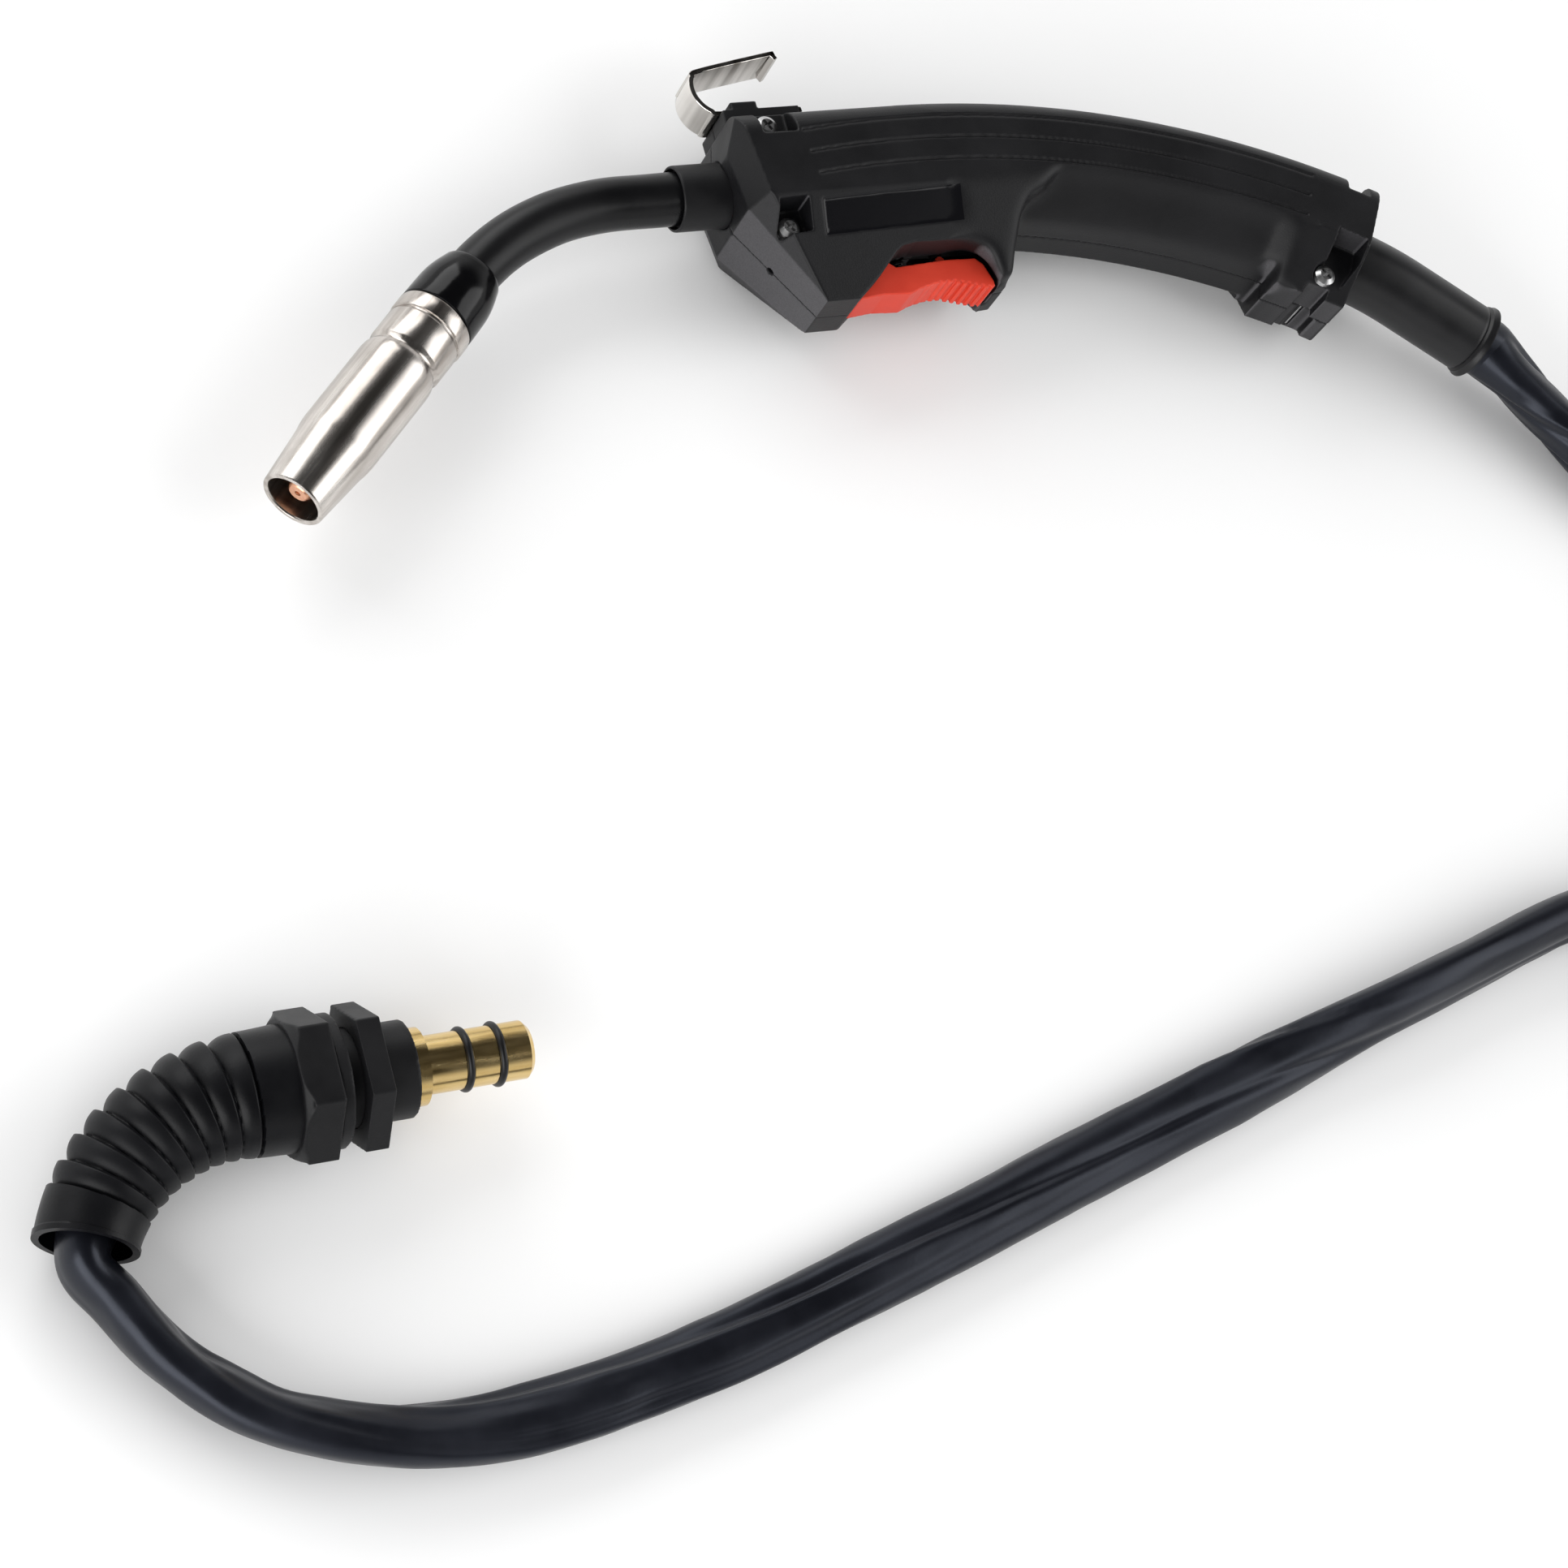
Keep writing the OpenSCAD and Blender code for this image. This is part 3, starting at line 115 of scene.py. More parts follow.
TORCH = Matrix.Translation((-REST_X, 0, HALF_W))
BEND_END = Vector((
    -NECK_STRAIGHT - NECK_BEND_R * math.sin(math.radians(NECK_ANGLE)),
    -NECK_BEND_R * (1 - math.cos(math.radians(NECK_ANGLE))),
    0,
))
NOZZLE = (
    TORCH @ Matrix.Translation(BEND_END) @ turn("Z", NECK_ANGLE) @ turn("Y", -90)
    @ Matrix.Translation((0, 0, NECK_TAIL))
)
AXIS = TORCH @ turn("Y", 90)
REAR = (
    TORCH @ Matrix.Translation((GRIP_START, -GRIP_R, 0)) @ turn("Z", -GRIP_ANGLE)
    @ Matrix.Translation((0, GRIP_R, 0)) @ turn("X", DROOP_ROLL) @ turn("Y", 90)
)


def droop_point(s):
    """Point at run s behind the handle's rear face, on the drooping cable line."""
    a = min(s / DROOP_LEN, 1) * math.radians(DROOP_ANGLE)
    rest = max(s - DROOP_LEN, 0)
    along = DROOP_R * math.sin(a) + rest * math.cos(a)
    down = DROOP_R * (1 - math.cos(a)) + rest * math.sin(a)
    return REAR @ Vector((down, 0, along))


def neck_point(s):
    """Point at run s in front of the collar's face, on the neck's centre line."""
    bend = NECK_BEND_R * math.radians(NECK_ANGLE)
    if s <= NECK_STRAIGHT:
        return TORCH @ Vector((-s, 0, 0))
    if s <= NECK_STRAIGHT + bend:
        a = (s - NECK_STRAIGHT) / NECK_BEND_R
        return TORCH @ Vector((
            -NECK_STRAIGHT - NECK_BEND_R * math.sin(a), -NECK_BEND_R * (1 - math.cos(a)), 0,
        ))
    return NOZZLE @ Vector((0, 0, s - NECK_STRAIGHT - bend - NECK_TAIL))


def coil_point(t):
    """Point after t turns of the coil: a spiral in, a climb, and a spiral out on top."""
    r = COIL_R + COIL_STEP * abs(t - LAYER_TURNS)
    k = min(max((t - LAYER_TURNS) * 2 + 0.5, 0), 1)
    a = math.radians(COIL_FROM - 360 * t)
    return Vector((
        COIL_CENTRE[0] + r * math.cos(a), COIL_CENTRE[1] + r * math.sin(a),
        COIL_Z + COIL_STEP * k * k * (3 - 2 * k),
    ))


def boot_point(s):
    """Point at run s from the gland's face, back through the boot."""
    a = max(s - BOOT_STRAIGHT, 0) / BOOT_BEND_R
    k = min(max((s - 0.010) / (BOOT_LEN - 0.010), 0), 1)
    return GLAND_AT + Vector((
        -min(s, BOOT_STRAIGHT) - BOOT_BEND_R * math.sin(a),
        -BOOT_BEND_R * (1 - math.cos(a)),
        (BOOT_END_Z - GLAND_AT.z) * k * k * (3 - 2 * k),
    ))


def smooth(points, steps):
    """A smooth line through the points, with that many steps from each to the next."""
    p = [Vector(q) for q in points]
    line = []
    for i in range(len(p) - 1):
        a, b, c, d = p[max(i - 1, 0)], p[i], p[i + 1], p[min(i + 2, len(p) - 1)]
        for k in range(steps):
            t = k / steps
            line.append(
                b + (c - a) * t / 2 + (a * 2 - b * 5 + c * 4 - d) * t * t / 2
                + (b * 3 - a - c * 3 + d) * t ** 3 / 2
            )
    return line + [p[-1]]


# ---- mesh helpers ----
ALL_SMOOTH = 180


def placed(name, mesh):
    """An object in the scene that shows the mesh."""
    obj = bpy.data.objects.new(name, mesh)
    scene.collection.objects.link(obj)
    return obj


def new_object(name, verts, faces, material, sharp=35):
    """A smooth mesh, with edges sharper than the given angle kept crisp."""
    mesh = bpy.data.meshes.new(name)
    mesh.from_pydata([tuple(v) for v in verts], [], faces)
    mesh.validate()
    mesh.update()
    obj = placed(name, mesh)
    finish_mesh(obj, material, sharp)
    return obj


def finish_mesh(obj, material, sharp=35):
    """Shades the object smooth and gives it one material."""
    obj.data.shade_smooth()
    obj.data.set_sharp_from_angle(angle=math.radians(sharp))
    obj.data.materials.clear()
    obj.data.materials.append(material)


def grid_faces(rings, around, closed_rings=False):
    """Quads between neighbouring rings of points."""
    last = rings if closed_rings else rings - 1
    return [
        (
            i * around + k, i * around + (k + 1) % around,
            (i + 1) % rings * around + (k + 1) % around, (i + 1) % rings * around + k,
        )
        for i in range(last)
        for k in range(around)
    ]


def turned(name, profile, place, material, around=96, sharp=35):
    """A turned piece: profile is a closed list of (radius, height), place its frame."""
    verts = [
        place @ Vector((r * math.cos(a), r * math.sin(a), z))
        for r, z in profile
        for a in (2 * math.pi * k / around for k in range(around))
    ]
    faces = grid_faces(len(profile), around, True)
    return new_object(name, verts, faces, material, sharp)


def frames_along(line):
    """Side and up vectors at each point of a line, level with the floor at its sides."""
    found = []
    for i in range(len(line)):
        along = (line[min(i + 1, len(line) - 1)] - line[max(i - 1, 0)]).normalized()
        side = along.cross(Vector((0, 0, 1))).normalized()
        found.append((side, side.cross(along).normalized()))
    return found


def swept(name, line, section, around, material, floor=False):
    """A closed tube along a line; section(i, angle) gives a point's (side, up) offset."""
    verts = []
    for i, (side, up) in enumerate(frames_along(line)):
        for k in range(around):
            x, y = section(i, 2 * math.pi * k / around)
            v = line[i] + side * x + up * y
            if floor:
                v.z = max(v.z, FLOOR_LIFT)
            verts.append(v)
    last = (len(line) - 1) * around
    faces = grid_faces(len(line), around)
    faces += [tuple(range(around))[::-1], tuple(range(last, last + around))]
    return new_object(name, verts, faces, material, 50)


def run_along(line):
    """Distance along the line at each of its points."""
    total, runs = 0.0, [0.0]
    for a, b in zip(line, line[1:]):
        total += (b - a).length
        runs.append(total)
    return runs


def arc_block(section, a_from, a_to):
    """A block that follows the grip's curve, with the section's (radius, height) corners."""
    steps, n = 12, len(section)
    verts = []
    for i in range(steps + 1):
        a = math.radians(a_from + (a_to - a_from) * i / steps)
        verts += [GRIP_CENTRE + Vector((r * math.sin(a), r * math.cos(a), z)) for r, z in section]
    faces = grid_faces(steps + 1, n)
    faces += [tuple(range(n))[::-1], tuple(range(n * steps, n * steps + n))]
    mesh = bpy.data.meshes.new("cutter")
    mesh.from_pydata([tuple(v) for v in verts], [], faces)
    return placed("cutter", mesh)


def round_block(x, y, r):
    """A round block through the torch's side, upright at that place in its frame."""
    bm = bmesh.new()
    bmesh.ops.create_cone(
        bm, cap_ends=True, segments=48, radius1=r, radius2=r, depth=2 * HALF_W,
        matrix=TORCH @ Matrix.Translation((x, y, 0)),
    )
    mesh = bpy.data.meshes.new("cutter")
    bm.to_mesh(mesh)
    bm.free()
    return placed("cutter", mesh)


def cut_by(obj, block):
    cut = obj.modifiers.new("cut", "BOOLEAN")
    cut.operation = "DIFFERENCE"
    cut.object = block


def settle(obj):
    """Makes what the object's modifiers do part of its mesh."""
    bpy.context.view_layer.update()
    made = bpy.data.meshes.new_from_object(
        obj.evaluated_get(bpy.context.evaluated_depsgraph_get())
    )
    obj.modifiers.clear()
    obj.data = made
    made.name = obj.name


def relaxed(mesh, weigh, rounds):
    """Eases a mesh where weigh(points) is above 0, as a generous mould radius does."""
    count = len(mesh.vertices)
    points = np.empty(count * 3)
    mesh.vertices.foreach_get("co", points)
    points = points.reshape(-1, 3)
    edges = np.empty(len(mesh.edges) * 2, dtype=np.int64)
    mesh.edges.foreach_get("vertices", edges)
    ends = edges.reshape(-1, 2)
    share = weigh(points)
    keep = (share[ends[:, 0]] > 0) | (share[ends[:, 1]] > 0)
    a, b = ends[keep].T
    degree = np.maximum(np.bincount(a, minlength=count) + np.bincount(b, minlength=count), 1)
    pull = np.where(share > 0, share, 0) * 0.5
    for _ in range(rounds):
        for k in range(3):
            value = points[:, k]
            total = np.bincount(a, value[b], count) + np.bincount(b, value[a], count)
            points[:, k] = value + pull * np.where(share > 0, total / degree - value, 0)
    mesh.vertices.foreach_set("co", points.ravel())
    mesh.update()


def softened(node, name, voxel, rounds, material, cuts=(), ease=None):
    """A copy of a CAD node whose edges are rounded as a mould leaves them.

    cuts are blocks taken out of it; ease is a (weigh, rounds) pair for relaxed().
    """
    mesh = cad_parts[node].data.copy()
    mesh.name = name
    bm = bmesh.new()
    bm.from_mesh(mesh)
    bmesh.ops.remove_doubles(bm, verts=bm.verts, dist=1e-6)
    bm.to_mesh(mesh)
    bm.free()
    obj = placed(name, mesh)
    for block in cuts:
        cut_by(obj, block)
    remesh = obj.modifiers.new("remesh", "REMESH")
    remesh.mode = "VOXEL"
    remesh.voxel_size = voxel
    relax = obj.modifiers.new("relax", "SMOOTH")
    relax.factor = 0.5
    relax.iterations = rounds
    settle(obj)
    if ease:
        relaxed(obj.data, *ease)
    finish_mesh(obj, material, ALL_SMOOTH)
    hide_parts(node)
    return obj


# ---- materials ----
# Paler grey for faces turned toward the front and below: painted light there, broken up like
# scuffs.
SCUFF_AND_LIGHT_GREY = (0.072, 0.070, 0.075)
FIELD_BLACK, FIELD_GLOSS, FIELD_EDGE = (0.004, 0.004, 0.005), 0.16, 0.00015
MOTTLE_SCALE, MOTTLE_DEPTH, TOOL_LINE_DEPTH = 45, 0.0002, 0.00001
EDGE_WEAR = 0.25


def node_material(name):
    material = bpy.data.materials.new(name)
    material.use_nodes = True
    nodes = material.node_tree.nodes
    return material, nodes, material.node_tree.links, nodes["Principled BSDF"]


def place_coords(nodes, links, scale=(1, 1, 1), swing=0):
    """Coordinates in metres in the part's frame, swung round Z, then scaled per axis."""
    place = nodes.new("ShaderNodeTexCoord").outputs["Object"]
    for key, value in (("Rotation", (0, 0, math.radians(-swing))), ("Scale", scale)):
        mapping = nodes.new("ShaderNodeMapping")
        mapping.inputs[key].default_value = value
        links.new(place, mapping.inputs["Vector"])
        place = mapping.outputs["Vector"]
    return place


def noise_at(nodes, links, vector, scale, detail=3, rough=0.5):
    tex = nodes.new("ShaderNodeTexNoise")
    tex.inputs["Scale"].default_value = scale
    tex.inputs["Detail"].default_value = detail
    tex.inputs["Roughness"].default_value = rough
    links.new(vector, tex.inputs["Vector"])
    return tex.outputs["Fac"]


def spread(nodes, links, value, low, high, start=0.3, end=0.7):
    """Maps the middle of a noise to the range low to high."""
    tool = nodes.new("ShaderNodeMapRange")
    tool.inputs["From Min"].default_value = start
    tool.inputs["From Max"].default_value = end
    tool.inputs["To Min"].default_value = low
    tool.inputs["To Max"].default_value = high
    links.new(value, tool.inputs["Value"])
    return tool.outputs["Result"]


def tinted(nodes, links, value, dark, light):
    ramp = nodes.new("ShaderNodeMix")
    ramp.data_type = "RGBA"
    ramp.inputs["A"].default_value = (*dark, 1)
    ramp.inputs["B"].default_value = (*light, 1)
    links.new(value, ramp.inputs["Factor"])
    return ramp.outputs["Result"]


def mixed(nodes, links, value, colour, other):
    """A colour socket blended to another plain colour by a mask."""
    ramp = nodes.new("ShaderNodeMix")
    ramp.data_type = "RGBA"
    ramp.inputs["B"].default_value = (*other, 1)
    links.new(colour, ramp.inputs["A"])
    links.new(value, ramp.inputs["Factor"])
    return ramp.outputs["Result"]


def bump(nodes, links, height, distance, strength, below=None):
    tool = nodes.new("ShaderNodeBump")
    tool.inputs["Distance"].default_value = distance
    tool.inputs["Strength"].default_value = strength
    links.new(height, tool.inputs["Height"])
    if below is not None:
        links.new(below, tool.inputs["Normal"])
    return tool.outputs["Normal"]


def joined(nodes, links, a, b, operation="MULTIPLY"):
    """One value made of two; each is a socket or a number."""
    tool = nodes.new("ShaderNodeMath")
    tool.operation = operation
    for value, socket in zip((a, b), tool.inputs):
        if isinstance(value, (int, float)):
            socket.default_value = value
        else:
            links.new(value, socket)
    return tool.outputs["Value"]


def worn_edges(nodes, links, amount):
    """A mask that is strongest on outward edges and fades off within them."""
    shape = nodes.new("ShaderNodeNewGeometry").outputs["Pointiness"]
    return spread(nodes, links, shape, 0, amount, 0.52, 0.6)


def field(nodes, links, u_range, v_range, swing):
    """A mask, 1 inside a rectangle of the handle's side seen square on."""
    place = nodes.new("ShaderNodeSeparateXYZ")
    links.new(place_coords(nodes, links, swing=swing), place.inputs["Vector"])
    mask = spread(nodes, links, place.outputs["Z"], 0, 1, HALF_W, HALF_W + 0.001)
    shift = REST_X * math.cos(math.radians(swing)), -REST_X * math.sin(math.radians(swing))
    for value, (low, high), moved in zip((place.outputs["X"], place.outputs["Y"]),
                                         (u_range, v_range), shift):
        low, high = low - moved, high - moved
        rise = spread(nodes, links, value, 0, 1, low, low + FIELD_EDGE)
        fall = spread(nodes, links, value, 1, 0, high - FIELD_EDGE, high)
        mask = joined(nodes, links, mask, joined(nodes, links, rise, fall))
    return mask


def facing(nodes, links, way):
    """A mask of the faces that look the given way."""
    turned_to = nodes.new("ShaderNodeVectorMath")
    turned_to.operation = "DOT_PRODUCT"
    turned_to.inputs[1].default_value = way
    links.new(nodes.new("ShaderNodeNewGeometry").outputs["Normal"], turned_to.inputs[0])
    return spread(nodes, links, turned_to.outputs["Value"], 0, 1, 0.90, 0.97)


def moulded(name, dark, light, rough, grain, depth, gloss, patch=None, lit_scuff_way=None,
            tint=(1, 1, 1)):
    """Moulded plastic or rubber: grain, mottling, uneven gloss and lighter, worn edges.

    patch is a smooth glossy field in it: its two ranges and its swing.
    lit_scuff_way is the way that its paler faces look: a patchy paler grey that is partly scuffing
    and partly painted light.
    """
    material, nodes, links, shader = node_material(name)
    place = place_coords(nodes, links)
    broad = noise_at(nodes, links, place, MOTTLE_SCALE, 4, 0.6)
    fine = noise_at(nodes, links, place, grain, 2, 0.6)
    mottled = spread(nodes, links, broad, 0, 1, 0.35, 0.68)
    colour = tinted(nodes, links, mottled, dark, light)
    rubbed = tuple(min(c * 2.2 + 0.006, 1) for c in light)
    worn = joined(nodes, links, worn_edges(nodes, links, EDGE_WEAR), fine)
    gloss_map = spread(nodes, links, broad, rough[0], rough[1])
    relief = fine
    if lit_scuff_way:
        # painted light with scuffs: faces turned the given way get a patchy paler grey
        patchy = spread(nodes, links, fine, 0.7, 1)
        pale = joined(nodes, links, facing(nodes, links, lit_scuff_way), patchy)
        colour = mixed(nodes, links, pale, colour, SCUFF_AND_LIGHT_GREY)
    if patch:
        smooth_field = field(nodes, links, *patch)
        plain = joined(nodes, links, 1, smooth_field, "SUBTRACT")
        worn = joined(nodes, links, worn, plain)
        relief = joined(nodes, links, fine, plain)
        colour = mixed(nodes, links, smooth_field, colour, FIELD_BLACK)
        duller = joined(nodes, links, gloss_map, plain)
        shinier = joined(nodes, links, smooth_field, FIELD_GLOSS)
        gloss_map = joined(nodes, links, duller, shinier, "ADD")
    links.new(mixed(nodes, links, worn, colour, rubbed), shader.inputs["Base Color"])
    links.new(gloss_map, shader.inputs["Roughness"])
    soft = bump(nodes, links, broad, MOTTLE_DEPTH, 0.25)
    links.new(bump(nodes, links, relief, depth, 0.6, soft), shader.inputs["Normal"])
    shader.inputs["Specular IOR Level"].default_value = gloss
    shader.inputs["Specular Tint"].default_value = (*tint, 1)
    return material


def metal(name, dark, light, rough, lines, swing=0, reflection_streak=0.5):
    """Turned or drawn metal: fine tool lines, soft painted reflection streaks along them, faint
    stains.
    """
    material, nodes, links, shader = node_material(name)
    fine = noise_at(nodes, links, place_coords(nodes, links, lines, swing), 60, 3, 0.6)
    broad = noise_at(nodes, links, place_coords(nodes, links), 60, 3, 0.6)
    # painted reflection: streaks along the tool lines darken and lighten the base colour as the
    # room's reflections would
    tone = joined(
        nodes, links, spread(nodes, links, broad, 0, 1 - reflection_streak),
        spread(nodes, links, fine, 0, reflection_streak, 0.38, 0.62), "ADD",
    )
    links.new(tinted(nodes, links, tone, dark, light), shader.inputs["Base Color"])
    links.new(spread(nodes, links, fine, rough[0], rough[1]), shader.inputs["Roughness"])
    links.new(bump(nodes, links, fine, TOOL_LINE_DEPTH, 0.5), shader.inputs["Normal"])
    shader.inputs["Metallic"].default_value = 1
    return material


LABEL_FIELD = ((0.0272, 0.0618), (-0.0196, -0.0120), 1.5)
# The handle's chin faces, turned (-0.766, -0.643, 0), get the paler grey: painted light, broken up
# like scuffs.
HANDLE_BLACK = moulded(
    "handle black", (0.0035, 0.0035, 0.0043), (0.006, 0.006, 0.0072), (0.42, 0.54), 2600,
    0.00006, 0.28, patch=LABEL_FIELD, lit_scuff_way=(-0.766, -0.643, 0),
)
COLLAR_BLACK = moulded(
    "collar black", (0.004, 0.004, 0.0048), (0.0075, 0.0075, 0.0085), (0.42, 0.55), 2200,
    0.00004, 0.26,
)
NECK_BLACK = moulded(
    "neck black", (0.003, 0.003, 0.0035), (0.0055, 0.0055, 0.0062), (0.26, 0.4), 700,
    0.00003, 0.26,
)
CAP_BLACK = moulded(
    "cap black", (0.0016, 0.0016, 0.002), (0.003, 0.003, 0.0034), (0.1, 0.2), 900, 0.00001, 0.22
)
SLEEVE_BLACK = moulded(
    "sleeve rubber", (0.0045, 0.0045, 0.0052), (0.008, 0.008, 0.0092), (0.32, 0.46), 1500,
    0.00002, 0.36,
)
SHEATH_BLACK = moulded(
    "sheath black", (0.0038, 0.0041, 0.0062), (0.008, 0.0086, 0.0124), (0.28, 0.42), 900,
    0.00003, 0.36, tint=(0.78, 0.84, 1),
)
BOOT_BLACK = moulded(
    "boot rubber", (0.0025, 0.0026, 0.0034), (0.0055, 0.0057, 0.007), (0.36, 0.5), 1300,
    0.00004, 0.19,
)
TIE_BLACK = moulded(
    "strap black", (0.010, 0.010, 0.011), (0.020, 0.020, 0.022), (0.75, 0.9), 3800, 0.0002, 0.2
)
TRIGGER_RED = moulded(
    "trigger red", (0.56, 0.032, 0.014), (0.68, 0.052, 0.024), (0.4, 0.52), 1800, 0.00003, 0.3
)
SEAL_BLACK = moulded(
    "seal rubber", (0.004, 0.004, 0.005), (0.007, 0.007, 0.008), (0.3, 0.4), 1500, 0.00001, 0.3
)
NICKEL = metal(
    "bright nickel", (0.30, 0.265, 0.235), (0.74, 0.70, 0.66), (0.2, 0.3), (0.3, 6, 6), NECK_ANGLE
)
COPPER = metal(
    "bare copper", (0.55, 0.25, 0.15), (0.80, 0.46, 0.30), (0.2, 0.36), (1, 6, 6), NECK_ANGLE
)
BRASS = metal("machined brass", (0.62, 0.42, 0.14), (0.82, 0.62, 0.30), (0.16, 0.3), (1, 9, 9))
STEEL = metal("plain steel", (0.36, 0.36, 0.36), (0.58, 0.58, 0.58), (0.25, 0.4), (5, 5, 5))
# Dark base tone and strong streaks on the hook: painted dark reflections on its bright strip.
HOOK_STEEL = metal(
    "bright strip", (0.16, 0.14, 0.12), (0.86, 0.83, 0.79), (0.06, 0.14), (2.6, 1.6, 0.1),
    reflection_streak=0.9,
)


# ---- nozzle, cap and neck ----
def make_nozzle():
    """The gas nozzle: a band, two grooves, a straight barrel and a tapered mouth."""
    r, groove = 9.0, 0.42
    outside = [
        (r - 0.35, 0), (r - 0.1, 0.1), (r, 0.35), (r, 3.7), (r - 0.12, 4.0), (r - groove, 4.15),
        (r - groove, 4.7), (r - 0.3, 4.95), (r - 0.22, 5.2), (r - 0.22, 12.0), (r - 0.3, 12.4),
        (r - 0.75, 13.0), (r - 0.8, 13.7), (r - 0.45, 14.3), (r - 0.16, 15.2),
        (r - 0.03, 16.4), (r, 17.5), (r, 37.6), (r - 0.05, 39), (r - 0.2, 40.4),
        (r - 0.5, 42), (7.36, 55.5), (7.3, 55.8), (7.14, 56),
    ]
    inside = [(6.35, 56), (6.15, 55.8), (6.1, 55.4), (7.7, 40), (7.7, 0.2), (7.9, 0)]
    profile = [(x * MM, z * MM) for x, z in outside + inside]
    nozzle = turned("gas_nozzle_shell", profile, NOZZLE, NICKEL, around=128, sharp=40)
    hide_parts("gas_nozzle")
    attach(nozzle, "nozzle")


def make_tip():
    """The contact tip, with its threaded shank and the bore for the wire."""
    outside = [
        (0.5, 53.6), (0.7, 54), (2.05, 54), (2.3, 53.85), (2.95, 52.9), (3.0, 52.6),
        (3.0, 34.2), (2.8, 34), (2.3, 34), (2.3, 29), (0.8, 29), (0.5, 31),
    ]
    tip = turned("tip_copper", [(x * MM, z * MM) for x, z in outside], NOZZLE, COPPER, 64, 30)
    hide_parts("contact_tip")
    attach(tip, "torch")


def make_cap():
    """The insulator cap, with a rounded shoulder behind the nozzle."""
    shoulder = [
        (6.40, -15.3), (6.5, -15.48), (6.6, -15.5), (6.95, -15.15), (7.15, -14.8), (7.4, -13.9),
        (7.8, -12.6), (8.15, -11.3), (8.42, -10), (8.6, -8.9), (8.74, -7.5), (8.8, -6),
        (8.88, -3), (8.9, -0.75), (8.85, -0.42), (8.7, -0.3), (6.40, -0.3), (6.40, 11.6),
        (6.90, 12), (6.40, 13), (4.6, 13), (4.6, -4), (6.40, -4),
    ]
    profile = [(x * MM, z * MM) for x, z in shoulder]
    cap = turned("cap_moulding", profile, NOZZLE, CAP_BLACK, around=96, sharp=45)
    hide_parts("insulator_cap")
    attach(cap, "torch")


def make_neck():
    """The neck's insulating sleeve, slightly uneven as shrunk tube is."""
    full = NECK_STRAIGHT + NECK_BEND_R * math.radians(NECK_ANGLE) + NECK_TAIL
    hidden, short, steps = 0.024, 0.0043, 90
    line = [
        neck_point(-hidden + (full - short + hidden) * i / steps) for i in range(steps + 1)
    ]

    def section(i, a):
        wave = noise.noise(Vector((i * 0.09, math.cos(a) * 0.6, math.sin(a) * 0.6))) * 0.00012
        r = 0.0061 - 0.00008 + wave
        return r * math.cos(a), r * math.sin(a)

    neck = swept("neck_tubing", line, section, 48, NECK_BLACK)
    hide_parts("neck_sleeve")
    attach(neck, "torch")


def make_collar():
    """The neck's collar, notched where a shell screw passes its flange."""
    outside = [
        (7.0, 0.0), (7.2, 0.06), (7.38, 0.25), (7.45, 0.6), (7.45, 21), (10, 21), (10, 24),
        (7.45, 24), (7.45, 26), (6.2, 26), (6.2, 24.2), (6.2, 2.2), (6.8, 2.0), (6.8, 0.1),
    ]
    profile = [(x * MM, z * MM) for x, z in outside]
    collar = turned("collar_ring", profile, AXIS, COLLAR_BLACK, around=96, sharp=40)
    notch = round_block(*COLLAR_SCREW, SCREW_NOTCH_R)
    cut_by(collar, notch)
    settle(collar)
    finish_mesh(collar, COLLAR_BLACK, 40)
    bpy.data.objects.remove(notch)
    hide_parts("neck_collar")
    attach(collar, "torch")


# ---- handle ----
def at_finger_recess(points):
    """1 at the soft borders of the finger recess, 0 on the crisp parts round it."""
    x, y = points[:, 0] - GRIP_CENTRE.x, points[:, 1] - GRIP_CENTRE.y
    r, a, z = np.hypot(x, y), np.degrees(np.arctan2(x, y)), points[:, 2]
    ramps = (
        (0.2192 - r) / 0.0015, (a - 1.5) / 1.5, (26.6 - a) / 1.2, (z - 0.0205) / 0.003,
    )
    return np.min([np.clip(ramp, 0, 1) for ramp in ramps], axis=0)


def make_handle():
    """The two shells, eased round the finger recess, with notches at their rear end."""
    coarse = 0
    back_step = arc_block(
        [
            (0.2313, 0.0360), (0.2368, 0.0228), (0.2400, 0.0228), (0.2400, 0.0400),
            (0.2296, 0.0400),
        ],
        28.0, 29.4,
    )
    notch = arc_block(
        [(0.195, -0.001), (0.2083, -0.001), (0.2083, 0.0179), (0.195, 0.0179)], 27.8, 29.0
    )
    for node, name, voxel, block, rounds in (
        ("near_shell", "handle_near", FINE_VOXEL, back_step, 140),
        ("far_shell", "handle_far", PLAIN_VOXEL, notch, 0),
    ):
        voxel = max(voxel, coarse)
        ease = (at_finger_recess, int(rounds * (FINE_VOXEL / voxel) ** 2))
        shell = softened(node, name, voxel, 2, HANDLE_BLACK, cuts=[block], ease=ease)
        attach(shell, "torch")
    bpy.data.objects.remove(back_step)
    bpy.data.objects.remove(notch)


def make_trigger():
    trigger = softened("trigger", "trigger_lever", TRIGGER_VOXEL, 1, TRIGGER_RED)
    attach(trigger, "trigger")


